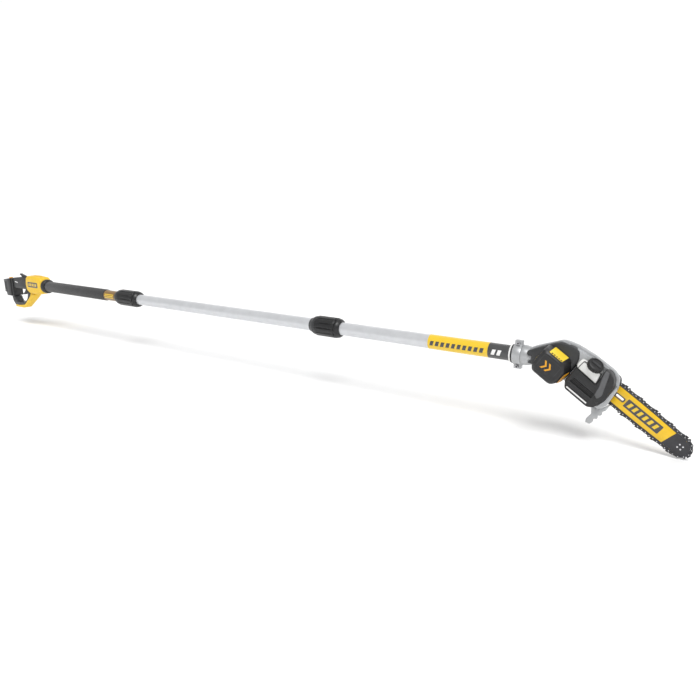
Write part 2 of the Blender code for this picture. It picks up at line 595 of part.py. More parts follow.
def build_tank(head):
    """Translucent oil tank, its black cover with the long recess, and the cap's seat."""
    tank = make_object("oil_tank", prism(fillet([(9.5, 4.5), (61, 2), (58, 18), (55, 27), (14, 26), (7, 24), (6, 14)], 3),
                       -33, CASE_NEAR - GAP, HEAD, 2, 0), head, "tank_plastic")
    seat = rod(-18, 2, 11, CAP_FRAME, 24)
    carve(tank, [seat], "UNION")
    cover = make_object("tank_cover", prism(fillet(TANK_COVER, 5), COVER_NEAR - 5, CASE_NEAR - GAP, HEAD, 5, 0),
                        head, "black_plastic")
    carve(cover, [block(17, 76, -60, COVER_NEAR - 1, -29, -14, HEAD),
                  block(8, 60, COVER_NEAR + 3, -5, -8, 1, HEAD)])
    cap = body("oil_cap_body", head, (0, 0, 0), CAP_FRAME)
    def grips(angle, x, radius):
        return -1.2 if radius > 16 and math.cos(16 * angle) < -0.1 else 0.0
    profile = [(2 + GAP, 0), (2 + GAP, 17), (3.5, CAP_RADIUS), (12, CAP_RADIUS), (14, 16), (14, 0)]
    make_object("oil_cap", lathe(profile, CAP_FRAME, 64, grips), cap, "black_plastic")


# ---- bar, chain and sprocket cover --------------------------------------------------------


def bar_half_width(a):
    """Half width of the bar at a place along it."""
    share = (a - SPROCKET_A) / (NOSE_A - SPROCKET_A)
    return BAR_EDGE + BAR_BELLY * math.sin(math.pi * min(max(share, 0.0), 1.0))


def loop_points(offset, count):
    """Points evenly spread round the bar's edge, pushed out by offset(distance, index)."""
    path = []
    steps = 24
    for i in range(steps + 1):
        a = SPROCKET_A + (NOSE_A - SPROCKET_A) * i / steps
        path.append((a, bar_half_width(a)))
    for i in range(1, 16):
        angle = math.pi / 2 - math.pi * i / 16
        path.append((NOSE_A + BAR_EDGE * math.cos(angle), BAR_EDGE * math.sin(angle)))
    for i in range(steps + 1):
        a = NOSE_A - (NOSE_A - SPROCKET_A) * i / steps
        path.append((a, -bar_half_width(a)))
    for i in range(1, 16):
        angle = -math.pi / 2 - math.pi * i / 16
        path.append((SPROCKET_A + BAR_EDGE * math.cos(angle), BAR_EDGE * math.sin(angle)))
    path = [Vector(p) for p in path]
    closed = path + [path[0]]
    lengths = [0.0]
    for one, two in zip(closed, closed[1:]):
        lengths.append(lengths[-1] + (two - one).length)
    points = []
    segment = 0
    for k in range(count):
        target = lengths[-1] * k / count
        while lengths[segment + 1] < target:
            segment += 1
        one, two = closed[segment], closed[segment + 1]
        t = (target - lengths[segment]) / (lengths[segment + 1] - lengths[segment])
        along = (two - one).normalized()
        outward = Vector((-along.y, along.x))
        points.append(tuple(one.lerp(two, t) + outward * offset(k)))
    return points


def build_bar(head):
    """Guide bar with its nose sprocket, tension carrier and screw, and the chain round it."""
    slide = body("bar_body", head, (STUD_A, BAR_Y, 0), HEAD)
    tail = SPROCKET_A + 28
    edge = [tail + 6 + (NOSE_A - tail - 6) * i / 12 for i in range(13)]
    upper = [(a, bar_half_width(a)) for a in edge]
    lower = [(a, -n) for a, n in reversed(upper)]
    nose = []
    for i in range(1, 14):
        angle = math.pi / 2 - math.pi * i / 14
        nose.append((NOSE_A + BAR_EDGE * math.cos(angle), BAR_EDGE * math.sin(angle)))
    outline = upper + nose + lower + [(tail, -12), (tail, 12)]
    half = BAR_THICKNESS / 2
    bar = make_object("guide_bar", prism(outline, BAR_Y - half, BAR_Y + half, HEAD), slide, "yellow_paint")
    carve(bar, [prism(fillet(rectangle(40, 86, -4.6, 4.6), 4, 4), 0, 20, HEAD),
                prism(fillet(rectangle(107, 127, -3.2, 3.2), 3, 4), 0, 20, HEAD),
                rod(0, 20, 2.5, across(72, TENSION_N), 16),
                rod(BAR_Y - NOSE_SLOT / 2, BAR_Y + NOSE_SLOT / 2, BAR_EDGE, across(NOSE_A + 2, 0), 36)])
    carrier = block(67.5, 76.5, -8.2, 2.6, TENSION_N - 5, TENSION_N + 5, HEAD)
    made = make_object("tension_carrier", carrier, slide, "steel")
    carve(made, [rod(0, 9.5, 2.2, across(72, TENSION_N), 16)], "UNION")
    carve(made, [rod(50, 130, 2.5, TENSION_FRAME, 16)])
    nose_body = body("nose_body", slide, (NOSE_A, BAR_Y, 0), HEAD)
    def wave(angle, x, radius):
        return -2.0 if math.cos(9 * angle) < 0 and radius > 8 else 0.0
    thin = NOSE_SLOT / 2 - GAP
    wheel = [(BAR_Y - thin, 0), (BAR_Y - thin, 16), (BAR_Y + thin, 16), (BAR_Y + thin, 0)]
    make_object("nose_sprocket", lathe(wheel, across(NOSE_A, 0), 54, wave), nose_body, "steel")
    screw_body = body("tension_screw_body", head, (105, -4, TENSION_N), HEAD)
    screw = [(54, 0), (54, 2.2), (102.3, 2.2), (102.3, 3.8), (106, 3.8), (106, 0)]
    make_object("tension_screw", lathe(screw, TENSION_FRAME, 16), screw_body,
                "steel")
    build_chain(head)


def build_chain(head):
    """The cutting chain, with a raised cutter on every other pitch of its outer edge."""
    per_pitch = 6
    count = CHAIN_PITCHES * per_pitch
    shape = (0, CUTTER_HEIGHT, CUTTER_HEIGHT, 0.5 * CUTTER_HEIGHT, -0.5, 0)
    inner = loop_points(lambda k: CHAIN_INNER, count)
    outer = loop_points(lambda k: CHAIN_INNER + CHAIN_HEIGHT + shape[k % per_pitch], count)
    bm = bmesh.new()
    rings = []
    for y, points in ((BAR_Y - CHAIN_WIDTH / 2, inner), (BAR_Y - CHAIN_WIDTH / 2, outer),
                      (BAR_Y + CHAIN_WIDTH / 2, outer), (BAR_Y + CHAIN_WIDTH / 2, inner)):
        rings.append([bm.verts.new((a, y, n)) for a, n in points])
    for ring, following in zip(rings, rings[1:] + rings[:1]):
        for i in range(count):
            j = (i + 1) % count
            bm.faces.new((ring[i], ring[j], following[j], following[i]))
    bm.transform(HEAD)
    make_object("saw_chain", bm, head, "steel")


def build_sprocket_cover(head):
    """The far side cover over sprocket and chain, held by a captive nut on the bar stud."""
    cover_body = body("cover_body", head, (STUD_A, SPROCKET_COVER_FAR, 0), HEAD)
    near = CASE_FAR + GAP
    half = BAR_EDGE + BAR_BELLY + CHAIN_INNER + CHAIN_HEIGHT + CUTTER_HEIGHT + 1.5
    room = fillet([(-30, half - 17, 14), (-10, half, 14), (140, half), (140, -half), (-10, -half, 14),
                   (-30, 17 - half, 14)], 4)
    shell = half + 2.6
    outline = fillet([(-34, shell - 18, 18), (-11, shell, 18), (92, shell), (101, shell - 13), (101, 13 - shell),
                      (92, -shell), (-11, -shell, 18), (-34, 18 - shell, 18)], 8)
    cover = make_object("sprocket_cover", prism(outline, near, SPROCKET_COVER_FAR, HEAD, 0, 6), cover_body,
                        "black_plastic")
    carve(cover, [rod(near + 2, SPROCKET_DOME_FAR, DOME_RADIUS, across(SPROCKET_A, 0), 40)], "UNION")
    tools = [prism(room, near - 5, BAR_Y + CHAIN_WIDTH / 2 + 1, HEAD),
             rod(0, SPROCKET_DOME_FAR - 3, DOME_RADIUS - 3, across(SPROCKET_A, 0), 40),
             rod(0, 60, 4.6, across(STUD_A, 0), 24),
             rod(SPROCKET_COVER_FAR - 5, 60, 12, across(STUD_A, 0), 24)]
    carve(cover, tools)
    stud = rod(CASE_FAR - 8, SPROCKET_COVER_FAR + 6, 4, across(STUD_A, 0), 20)
    make_object("bar_stud", stud, head, "steel")
    nut_body = body("bar_nut_body", cover_body, (STUD_A, SPROCKET_COVER_FAR, 0), HEAD)
    def hexagon(angle, x, radius):
        if radius < 6:
            return 0.0
        turn = angle % (math.pi / 3) - math.pi / 6
        return radius * (math.cos(math.pi / 6) / math.cos(turn) - 1)
    start = SPROCKET_COVER_FAR - 5 + GAP
    nut = [(start, 4.3), (start, 11), (SPROCKET_COVER_FAR + 9, 11), (SPROCKET_COVER_FAR + 9, 4.3)]
    make_object("bar_nut", lathe(nut, across(STUD_A, 0), 36, hexagon), nut_body, "steel")


# ---- assembly -----------------------------------------------------------------------------
def settle_origin(root):
    """Move the assembly so that the origin is at the middle of the bottom of its box."""
    bpy.context.view_layer.update()
    graph = bpy.context.evaluated_depsgraph_get()
    corners = []
    for item in bpy.context.scene.objects:
        if item.type == "MESH" and not item.hide_render:
            shape = item.evaluated_get(graph)
            corners += [item.matrix_world @ vert.co for vert in shape.data.vertices]
    low = Vector([min(c[i] for c in corners) for i in range(3)])
    high = Vector([max(c[i] for c in corners) for i in range(3)])
    root.location -= Vector(((low.x + high.x) / 2, (low.y + high.y) / 2, low.z))


def main():
    for item in list(bpy.data.objects):
        bpy.data.objects.remove(item, do_unlink=True)
    root = body("rear_section")
    build_handle(root)
    build_trigger(root)
    build_lever(root)
    build_battery(root)
    build_rear_pole(root)
    head = build_extension(root)
    build_case(head)
    build_hook(head)
    build_motor_housing(head)
    build_drive(head)
    build_tank(head)
    build_bar(head)
    build_sprocket_cover(head)
    settle_origin(root)


main()
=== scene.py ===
"""Looks of the sectional pole saw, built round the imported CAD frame."""
import json
import math

import bmesh
import bpy
from mathutils import Matrix, Vector


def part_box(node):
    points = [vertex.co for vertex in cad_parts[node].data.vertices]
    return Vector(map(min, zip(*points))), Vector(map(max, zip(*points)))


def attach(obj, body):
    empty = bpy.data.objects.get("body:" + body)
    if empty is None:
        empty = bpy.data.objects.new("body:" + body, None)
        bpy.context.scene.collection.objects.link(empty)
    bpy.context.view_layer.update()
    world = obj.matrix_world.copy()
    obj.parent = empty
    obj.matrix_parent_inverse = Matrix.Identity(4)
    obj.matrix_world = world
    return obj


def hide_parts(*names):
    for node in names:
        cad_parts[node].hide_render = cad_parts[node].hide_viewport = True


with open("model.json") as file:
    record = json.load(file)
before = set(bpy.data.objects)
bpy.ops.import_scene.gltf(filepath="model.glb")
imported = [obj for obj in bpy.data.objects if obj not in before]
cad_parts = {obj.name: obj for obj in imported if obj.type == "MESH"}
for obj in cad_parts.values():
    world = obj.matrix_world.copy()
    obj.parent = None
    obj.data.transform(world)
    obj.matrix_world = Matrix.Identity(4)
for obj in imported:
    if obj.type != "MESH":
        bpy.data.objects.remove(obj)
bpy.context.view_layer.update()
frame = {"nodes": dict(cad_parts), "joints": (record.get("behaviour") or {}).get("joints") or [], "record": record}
BODIES = frame["record"]["behaviour"]["bodies"]
NODE_BODY = {node: body for body, nodes in BODIES.items() for node in nodes}
NODE_SLOT = {part["node"]: part["material_slot"] for part in frame["record"]["subparts"]}
JOINT = {joint["name"]: joint for joint in frame["joints"]}
MM = 0.001

# ---- places worked out from the frame -----------------------------------------------------
TUBE_LOW, TUBE_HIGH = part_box("head_tube")
AXIS = Vector((0, (TUBE_LOW.y + TUBE_HIGH.y) / 2, (TUBE_LOW.z + TUBE_HIGH.z) / 2))
TUBE_RADIUS = (TUBE_HIGH.z - TUBE_LOW.z) / 2
CLAMP_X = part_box("clamp_cap")[0].x - 4 * MM          # where the pole meets the head
BAR_DIRECTION = Vector(JOINT["bar_tension"]["axis"]).normalized()
BAR_UP = Vector((-BAR_DIRECTION.z, 0, BAR_DIRECTION.x))
NOSE = Vector(JOINT["nose_spin"]["pos_m"])
SPROCKET = Vector(JOINT["drive_spin"]["pos_m"])
BAR_LOW, BAR_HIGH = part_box("guide_bar")
BAR_HALF = (BAR_HIGH.y - BAR_LOW.y) / 2
BAR_Y = (BAR_LOW.y + BAR_HIGH.y) / 2

# the head's frame: X along the bar, Y across, Z up from the bar, origin on the sprocket's axis
HEAD = Matrix((
    (BAR_DIRECTION.x, 0, BAR_UP.x, SPROCKET.x),
    (0, 1, 0, BAR_Y),
    (BAR_DIRECTION.z, 0, BAR_UP.z, SPROCKET.z),
    (0, 0, 0, 1)))
REACH = (NOSE - Vector((SPROCKET.x, NOSE.y, SPROCKET.z))).length
POLE = Matrix.Translation(AXIS)
QUARTER_TURN = Matrix.Rotation(math.pi / 2, 4, "Z")      # turns a lathe's axis to +Y
HALF_TURN = Matrix.Rotation(math.pi, 4, "Z")


# ---- materials ----------------------------------------------------------------------------
def link(tree, source, target):
    """Connect a node's output to another node's input."""
    tree.links.new(source, target)


def fill(node, values):
    """Set a node's inputs by name."""
    for name, value in values.items():
        node.inputs[name].default_value = value


def noise(tree, scale, detail=3.0, stretch=(1, 1, 1), rough=0.55):
    """A noise texture in the piece's own metres, stretched along the axes."""
    place = tree.nodes.new("ShaderNodeTexCoord")
    mapping = tree.nodes.new("ShaderNodeMapping")
    fill(mapping, {"Scale": stretch})
    texture = tree.nodes.new("ShaderNodeTexNoise")
    fill(texture, {"Scale": scale, "Detail": detail, "Roughness": rough})
    link(tree, place.outputs["Object"], mapping.inputs["Vector"])
    link(tree, mapping.outputs["Vector"], texture.inputs["Vector"])
    return texture.outputs["Fac"]


def spread(tree, value, low, high, to_low, to_high):
    """Map a value from one range to another, held to its ends."""
    node = tree.nodes.new("ShaderNodeMapRange")
    fill(node, {"From Min": low, "From Max": high, "To Min": to_low, "To Max": to_high})
    link(tree, value, node.inputs["Value"])
    return node.outputs["Result"]


def blend_colours(tree, factor, one, two):
    """Mix two colours, each a constant or another node's output."""
    node = tree.nodes.new("ShaderNodeMix")
    node.data_type = "RGBA"
    link(tree, factor, node.inputs["Factor"])
    for socket, colour in ((node.inputs[6], one), (node.inputs[7], two)):
        if isinstance(colour, bpy.types.NodeSocket):
            link(tree, colour, socket)
        else:
            socket.default_value = (*colour, 1.0)
    return node.outputs[2]


def shade(colour, factor):
    """A colour made darker or lighter."""
    return tuple(min(1.0, c * factor) for c in colour)


def new_material(name):
    """An empty node material with its tree and its shader."""
    made = bpy.data.materials.new(name)
    made.use_nodes = True
    return made, made.node_tree, made.node_tree.nodes["Principled BSDF"]


def surface(name, colour, rough, metal=0.0, grain=2500.0, bump=0.15, depth=0.00005, stretch=(1, 1, 1),
            variation=0.12, scuffs=0.0, coat=0.0, sheen=0.0):
    """A material with blotchy colour, uneven gloss, a fine grain in relief and faint scuffs."""
    made, tree, shader = new_material(name)
    fill(shader, {"Metallic": metal, "Coat Weight": coat, "Coat Roughness": 0.15, "Sheen Weight": sheen})
    blotch = noise(tree, 45.0, 4.0)
    paint = blend_colours(tree, spread(tree, blotch, 0.3, 0.7, 0.0, 1.0), shade(colour, 1 - variation),
                          shade(colour, 1 + variation))
    fine = noise(tree, grain, 4.0, stretch)
    if scuffs:
        scratch = noise(tree, 260.0, 6.0, (0.35, 2.5, 1.6), 0.7)
        marks = spread(tree, scratch, 0.62, 0.72, 0.0, scuffs)
        paint = blend_colours(tree, marks, paint, tuple(c * 0.6 + 0.22 for c in colour))
    link(tree, paint, shader.inputs["Base Color"])
    link(tree, spread(tree, fine, 0.25, 0.75, rough * 0.82, min(1.0, rough * 1.18)),
         shader.inputs["Roughness"])
    relief = tree.nodes.new("ShaderNodeBump")
    fill(relief, {"Strength": bump, "Distance": depth})
    link(tree, fine, relief.inputs["Height"])
    link(tree, relief.outputs["Normal"], shader.inputs["Normal"])
    return made


def translucent(name):
    """Milky tank plastic that lets some light through."""
    made = surface(name, (0.84, 0.84, 0.82), 0.35, grain=1200.0, bump=0.08, variation=0.03, coat=0.2)
    shader = made.node_tree.nodes["Principled BSDF"]
    fill(shader, {"Subsurface Weight": 0.35, "Subsurface Radius": (0.004, 0.004, 0.004)})
    return made


LOOKS = {
    "tube": surface("drawn_aluminium", (0.64, 0.65, 0.67), 0.36, 0.5, 900.0, 0.10, 0.00003, (0.02, 1, 1),
                    0.04, 0.06),
    "cast": surface("cast_aluminium", (0.46, 0.47, 0.48), 0.40, 0.6, 1400.0, 0.5, 0.00012, variation=0.08,
                    scuffs=0.08),
    "steel": surface("turned_steel", (0.46, 0.46, 0.48), 0.30, 1.0, 1800.0, 0.12, scuffs=0.1),
    "dark_steel": surface("chain_steel", (0.055, 0.055, 0.060), 0.36, 0.6, 1500.0, 0.2, scuffs=0.25),
    "bright_steel": surface("ground_steel", (0.62, 0.62, 0.64), 0.26, 1.0, 1800.0, 0.1),
    "black": surface("black_nylon", (0.016, 0.016, 0.017), 0.42, grain=2600.0, bump=0.3, depth=0.00006,
                     scuffs=0.10),
    "charcoal": surface("charcoal_nylon", (0.032, 0.033, 0.035), 0.42, grain=2600.0, bump=0.3, depth=0.00006,
                        scuffs=0.10),
    "grey": surface("grey_nylon", (0.105, 0.107, 0.112), 0.5, grain=2400.0, bump=0.3, scuffs=0.1),
    "rubber": surface("black_rubber", (0.010, 0.010, 0.011), 0.36, grain=1800.0, bump=0.35, depth=0.00008,
                      scuffs=0.12),
    "foam": surface("foam_sleeve", (0.034, 0.034, 0.036), 0.92, grain=1500.0, bump=0.8, depth=0.0003,
                    variation=0.16, sheen=0.25),
    "yellow": surface("yellow_nylon", (0.83, 0.53, 0.022), 0.42, grain=2400.0, bump=0.22, variation=0.07,
                      scuffs=0.05),
    "bar_paint": surface("bar_paint", (0.84, 0.52, 0.010), 0.34, 0.0, 1500.0, 0.10, variation=0.06,
                         scuffs=0.10, coat=0.3),
    "orange": surface("orange_nylon", (0.80, 0.36, 0.010), 0.40, grain=2400.0, bump=0.2, variation=0.08),
    "bright_yellow": surface("light_yellow_nylon", (0.92, 0.66, 0.04), 0.38, grain=2400.0, bump=0.2,
                             variation=0.06),
    "yellow_film": surface("yellow_film", (0.83, 0.55, 0.020), 0.30, grain=700.0, bump=0.06, variation=0.04,
                           coat=0.4),
    "amber_film": surface("amber_film", (0.22, 0.12, 0.03), 0.34, grain=700.0, bump=0.06, coat=0.4),
    "dark_film": surface("dark_film", (0.055, 0.056, 0.058), 0.32, grain=700.0, bump=0.06, coat=0.4),
    "white_film": surface("white_film", (0.85, 0.85, 0.84), 0.35, grain=700.0, bump=0.05, variation=0.03),
    "tank": translucent("tank_plastic"),
    "copper": surface("copper_winding", (0.62, 0.30, 0.14), 0.4, 0.9, 600.0, 0.5, 0.0004, (0.2, 3, 1)),
}


# ---- mesh helpers -------------------------------------------------------------------------
def placed(name, data):
    """A new object in the scene for a mesh, camera or light."""
    made = bpy.data.objects.new(name, data)
    bpy.context.scene.collection.objects.link(made)
    return made


def add(name, bm, look, body, slot=None, stands_for=(), bevel=0.0, segments=2, angle=32.0, smooth=32.0):
    """Make a piece in the row frame, with rounded edges, that rides on a body."""
    bmesh.ops.recalc_face_normals(bm, faces=bm.faces)
    mesh = bpy.data.meshes.new(name)
    bm.to_mesh(mesh)
    bm.free()
    mesh.materials.append(LOOKS[look])
    mesh.shade_smooth()
    mesh.set_sharp_from_angle(angle=math.radians(smooth if not bevel else 180))
    piece = placed(name, mesh)
    if bevel:
        rounding = piece.modifiers.new("rounding", "BEVEL")
        rounding.width = bevel
        rounding.segments = segments
        rounding.limit_method = "ANGLE"
        rounding.angle_limit = math.radians(angle)
        rounding.harden_normals = True
        rounding.use_clamp_overlap = True
    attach(piece, body)
    if stands_for:
        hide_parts(*stands_for)
    return piece


def on_head(name, bm, look, slot=None, stands_for=(), **edges):
    """A piece that rides on the head section."""
    add(name, bm, look, "head_section", slot, stands_for, **edges)


def copy_of(node):
    """A node's shape with its faces joined again: shared points merged, flat areas whole."""
    bm = bmesh.new()
    bm.from_mesh(frame["nodes"][node].data)
    bmesh.ops.remove_doubles(bm, verts=bm.verts, dist=0.00002)
    bmesh.ops.dissolve_limit(bm, angle_limit=math.radians(1.0), verts=bm.verts, edges=bm.edges)
    return bm


def refine(node, look, bevel=0.0006, segments=2, angle=34.0):
    """Stand in for a CAD node with the same shape, smooth where round and with softened edges."""
    return add(node + "_skin", copy_of(node), look, NODE_BODY[node], NODE_SLOT[node], (node,), bevel,
               segments, angle)


def lathe(profile, place=POLE, steps=96, wave=None):
    """Turn an open or closed (x, radius) profile round X; radius 0 closes on the axis."""
    bm = bmesh.new()
    columns = []
    for i in range(steps):
        angle = 2 * math.pi * i / steps
        column = []
        for x, radius in profile:
            if radius == 0 and columns:
                column.append(columns[0][len(column)])
                continue
            size = radius + (wave(angle, x, radius) if wave and radius else 0)
            column.append(bm.verts.new((x, size * math.cos(angle), size * math.sin(angle))))
        columns.append(column)
    for i in range(steps):
        one = columns[i]
        two = columns[(i + 1) % steps]
        for j in range(len(profile)):
            k = (j + 1) % len(profile)
            corners = []
            for vert in (one[j], one[k], two[k], two[j]):
                if vert not in corners:
                    corners.append(vert)
            if len(corners) > 2:
                bm.faces.new(corners)
    bm.transform(place)
    return bm


def prism(outline, y0, y1, place):
    """Extrude an x-z outline along Y, in the given frame."""
    bm = bmesh.new()
    near = [bm.verts.new((x, y0, z)) for x, z in outline]
    far = [bm.verts.new((x, y1, z)) for x, z in outline]
    bm.faces.new(near)
    bm.faces.new(far)
    for i in range(len(outline)):
        j = (i + 1) % len(outline)
        bm.faces.new((near[i], near[j], far[j], far[i]))
    bm.transform(place)
    return bm


def joined(meshes):
    """Several meshes as one."""
    whole = bmesh.new()
    for bm in meshes:
        part = bpy.data.meshes.new("part")
        bm.to_mesh(part)
        bm.free()
        whole.from_mesh(part)
        bpy.data.meshes.remove(part)
    return whole


def rounded(points, radius, steps=5):
    """Round the corners of a closed outline."""
    outline = []
    count = len(points)
    for i, point in enumerate(points):
        here = Vector(point)
        before = Vector(points[i - 1]) - here
        after = Vector(points[(i + 1) % count]) - here
        reach = min(radius, 0.45 * before.length, 0.45 * after.length)
        start = here + before.normalized() * reach
        end = here + after.normalized() * reach
        for step in range(steps + 1):
            t = step / steps
            outline.append(tuple(start * (1 - t) ** 2 + here * 2 * t * (1 - t) + end * t ** 2))
    return outline


def rectangle(x0, x1, z0, z1):
    """The four corners of a rectangle."""
    return [(x0, z0), (x1, z0), (x1, z1), (x0, z1)]


def frame_ring(outer, inner, y0, y1, place):
    """A flat ring between two outlines with the same number of points."""
    bm = bmesh.new()
    rings = [[bm.verts.new((x, y, z)) for x, z in loop] for y in (y0, y1) for loop in (outer, inner)]
    low_out, low_in, high_out, high_in = rings
    for a, b in ((low_out, low_in), (low_in, high_in), (high_in, high_out), (high_out, low_out)):
        for i in range(len(a)):
            j = (i + 1) % len(a)
            bm.faces.new((a[i], a[j], b[j], b[i]))
    bm.transform(place)
    return bm


def tube_patch(x0, x1, low, high, radius, thick=0.00015, slant=0.0, steps=14):
    """A thin curved plate on a tube, between two angles measured up from the near side (-Y)."""
    bm = bmesh.new()
    grid = []
    for i in range(steps + 1):
        angle = math.radians(low + (high - low) * i / steps)
        shift = slant * (i / steps - 0.5)
        ring = []
        for x, r in ((x0, radius), (x1, radius), (x1, radius + thick), (x0, radius + thick)):
            ring.append(bm.verts.new((x + shift, -r * math.cos(angle), r * math.sin(angle))))
        grid.append(ring)
    for one, two in zip(grid, grid[1:]):
        for j in range(4):
            bm.faces.new((one[j], one[(j + 1) % 4], two[(j + 1) % 4], two[j]))
    bm.faces.new(grid[0])
    bm.faces.new(grid[-1])
    bm.transform(POLE)
    return bm


# ---- pole ---------------------------------------------------------------------------------
def span(node):
    """Where a node starts and ends along the pole."""
    low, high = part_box(node)
    return low.x, high.x


def outer_radius(node):
    """The radius of a round node that lies along the pole."""
    low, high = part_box(node)
    return (high.z - low.z) / 2


def build_tubes():
    """The three tubes and the foam sleeve, round and smooth."""
    wall = 1.5 * MM
    for node in ("rear_tube", "extension_tube", "head_tube"):
        x0, x1 = span(node)
        edge = 0.3 * MM
        profile = [(x0, TUBE_RADIUS - wall), (x0, TUBE_RADIUS - edge), (x0 + edge, TUBE_RADIUS),
                   (x1 - edge, TUBE_RADIUS), (x1, TUBE_RADIUS - edge), (x1, TUBE_RADIUS - wall)]
        add(node + "_skin", lathe(profile), "tube", NODE_BODY[node], NODE_SLOT[node], (node,))
    x0, x1 = span("foam_grip")
    outer = outer_radius("foam_grip")
    soft = 1.6 * MM
    profile = [(x0, TUBE_RADIUS + 0.3 * MM), (x0, outer - soft), (x0 + 0.5 * soft, outer - 0.3 * soft),
               (x0 + 1.5 * soft, outer), (x1 - 1.5 * soft, outer), (x1 - 0.5 * soft, outer - 0.3 * soft),
               (x1, outer - soft), (x1, TUBE_RADIUS + 0.3 * MM)]
    add("foam_grip_skin", lathe(profile), "foam", "rear_section", "foam", ("foam_grip",), smooth=60)


def hexagon(angle, x, radius):
    """Wave for lathe: turns a circle into the hexagon inside it."""
    turn = angle % (math.pi / 3) - math.pi / 6
    return radius * (math.cos(math.pi / 6) / math.cos(turn) - 1)


COLLAR_FLUTES = 12
FLUTE_DEPTH = 2.6 * MM


def collar_lugs(node, x, big):
    """The small raised pads between the pockets at a collar's front end."""
    pad = rounded(rectangle(-3.4 * MM, 3.4 * MM, big - 2.7 * MM, big - 0.9 * MM), 0.5 * MM, 3)
    blocks = []
    for i in range(COLLAR_FLUTES):
        turn = Matrix.Rotation(2 * math.pi * (i + 0.5) / COLLAR_FLUTES, 4, "X")
        bm = prism(pad, 0, 4.6 * MM, Matrix.Identity(4))
        # the outline was drawn across; turn it so that its depth runs along the pole
        bm.transform(Matrix.Translation((x, 0, 0)) @ QUARTER_TURN)
        bm.transform(POLE @ turn)
        blocks.append(bm)
    add(node + "_lugs", joined(blocks), "rubber", NODE_BODY[node], NODE_SLOT[node], smooth=40)


def build_collar(node):
    """A fluted collar with a smooth rim, a stepped lip and pockets at its front end."""
    x0, x1 = span(node)
    big = outer_radius(node)
    bore = TUBE_RADIUS + 0.4 * MM
    inner = bore + 5.2 * MM
    flute_end = x1 - 17 * MM
    profile = [(x0, inner), (x0, big - 1.6 * MM), (x0 + 0.8 * MM, big - 0.5 * MM), (x0 + 2.5 * MM, big)]
    steps = 8
    for i in range(1, steps):
        profile.append((x0 + 2.5 * MM + (flute_end - x0 - 2.5 * MM) * i / steps, big))
    profile += [(flute_end, big), (flute_end + 1.2 * MM, big - 1.0 * MM),
                (flute_end + 1.6 * MM, big - 2.6 * MM), (x1 - 12.5 * MM, big - 2.6 * MM),
                (x1 - 12 * MM, big - 1.4 * MM), (x1 - 9 * MM, big - 1.4 * MM),
                (x1 - 5 * MM, big - 3.6 * MM), (x1 - 1 * MM, TUBE_RADIUS + 3.0 * MM),
                (x1, TUBE_RADIUS + 2.0 * MM), (x1, bore), (x1 - 25 * MM, bore), (x1 - 25 * MM, inner)]

    def flutes(angle, x, radius):
        """Narrow rounded grooves between wide ribs, fading out at both ends."""
        if radius <= big - 0.8 * MM:
            return 0.0
        groove = max(0.0, math.cos(COLLAR_FLUTES * angle)) ** 4
        fade = min(1.0, (x - x0 - 2 * MM) / (5 * MM), (flute_end + 1 * MM - x) / (5 * MM))
        return -FLUTE_DEPTH * groove * max(0.0, fade)

    add(node + "_skin", lathe(profile, POLE, 288, flutes), "rubber", NODE_BODY[node], NODE_SLOT[node],
        (node,), smooth=40)
    collar_lugs(node, flute_end + 4.7 * MM, big)


def build_socket(node):
    """The fixed cone behind each collar, with a fine step where the collar seats."""
    x0, x1 = span(node)
    big = outer_radius(node)
    bore = TUBE_RADIUS + 0.3 * MM
    thread = bore + 4.7 * MM
    cone = x0 + 22 * MM
    profile = [(x0, bore), (x0, bore + 0.8 * MM), (x0 + 1.0 * MM, bore + 1.6 * MM)]
    steps = 8
    for i in range(1, steps + 1):
        t = i / steps
        swell = t * t * (3 - 2 * t)
        profile.append((x0 + 1 * MM + 17 * MM * t, bore + 1.6 * MM + (big - bore - 1.6 * MM) * swell))
    profile += [(cone - 0.6 * MM, big), (cone, big - 0.6 * MM), (cone, thread)]
    for i in range(5):
        start = cone + 3 * MM + i * 6.8 * MM
        profile += [(start, thread), (start + 1.2 * MM, thread - 1.2 * MM),
                    (start + 3.2 * MM, thread - 1.2 * MM), (start + 4.4 * MM, thread)]
    profile += [(x1, thread), (x1, bore)]
    add(node + "_skin", lathe(profile), "charcoal", NODE_BODY[node], NODE_SLOT[node], (node,), smooth=40)


def dashes(name, x0, x1, count, low, high, radius, look, body, slant):
    """A row of slanted dashes on a tube, a generic pattern in place of lettering."""
    pitch = (x1 - x0) / count
    parts = [tube_patch(x0 + pitch * i, x0 + pitch * (i + 0.62), low, high, radius, slant=slant)
             for i in range(count)]
    add(name, joined(parts), look, body)


def build_labels():
    """Printed sleeves: amber behind the first coupling, yellow and grey before the head."""
    films = {"rear_label": "amber_film", "yellow_label": "yellow_film", "grey_label": "dark_film"}
    for node, look in films.items():
        x0, x1 = span(node)
        radius = outer_radius(node)
        bore = TUBE_RADIUS + 0.2 * MM
        profile = [(x0, bore), (x0, radius), (x1, radius), (x1, bore)]
        add(node + "_skin", lathe(profile), look, NODE_BODY[node], NODE_SLOT[node], (node,))
    radius = outer_radius("yellow_label")
    x0, x1 = span("yellow_label")
    dashes("yellow_label_dashes", x0 + 7 * MM, x1 - 5 * MM, 10, -16, 20, radius, "dark_film",
           "head_section", 3 * MM)
    x0, x1 = span("grey_label")
    dashes("grey_label_dashes", x0 + 10 * MM, x1 - 14 * MM, 2, -18, 22, radius, "white_film",
           "head_section", 4 * MM)
    x0, x1 = span("rear_label")
    parts = [tube_patch(x0 + 6 * MM, x1 - 6 * MM, level, level + 9, radius) for level in (-20, -2, 16)]
    add("rear_label_lines", joined(parts), "yellow_film", "rear_section")


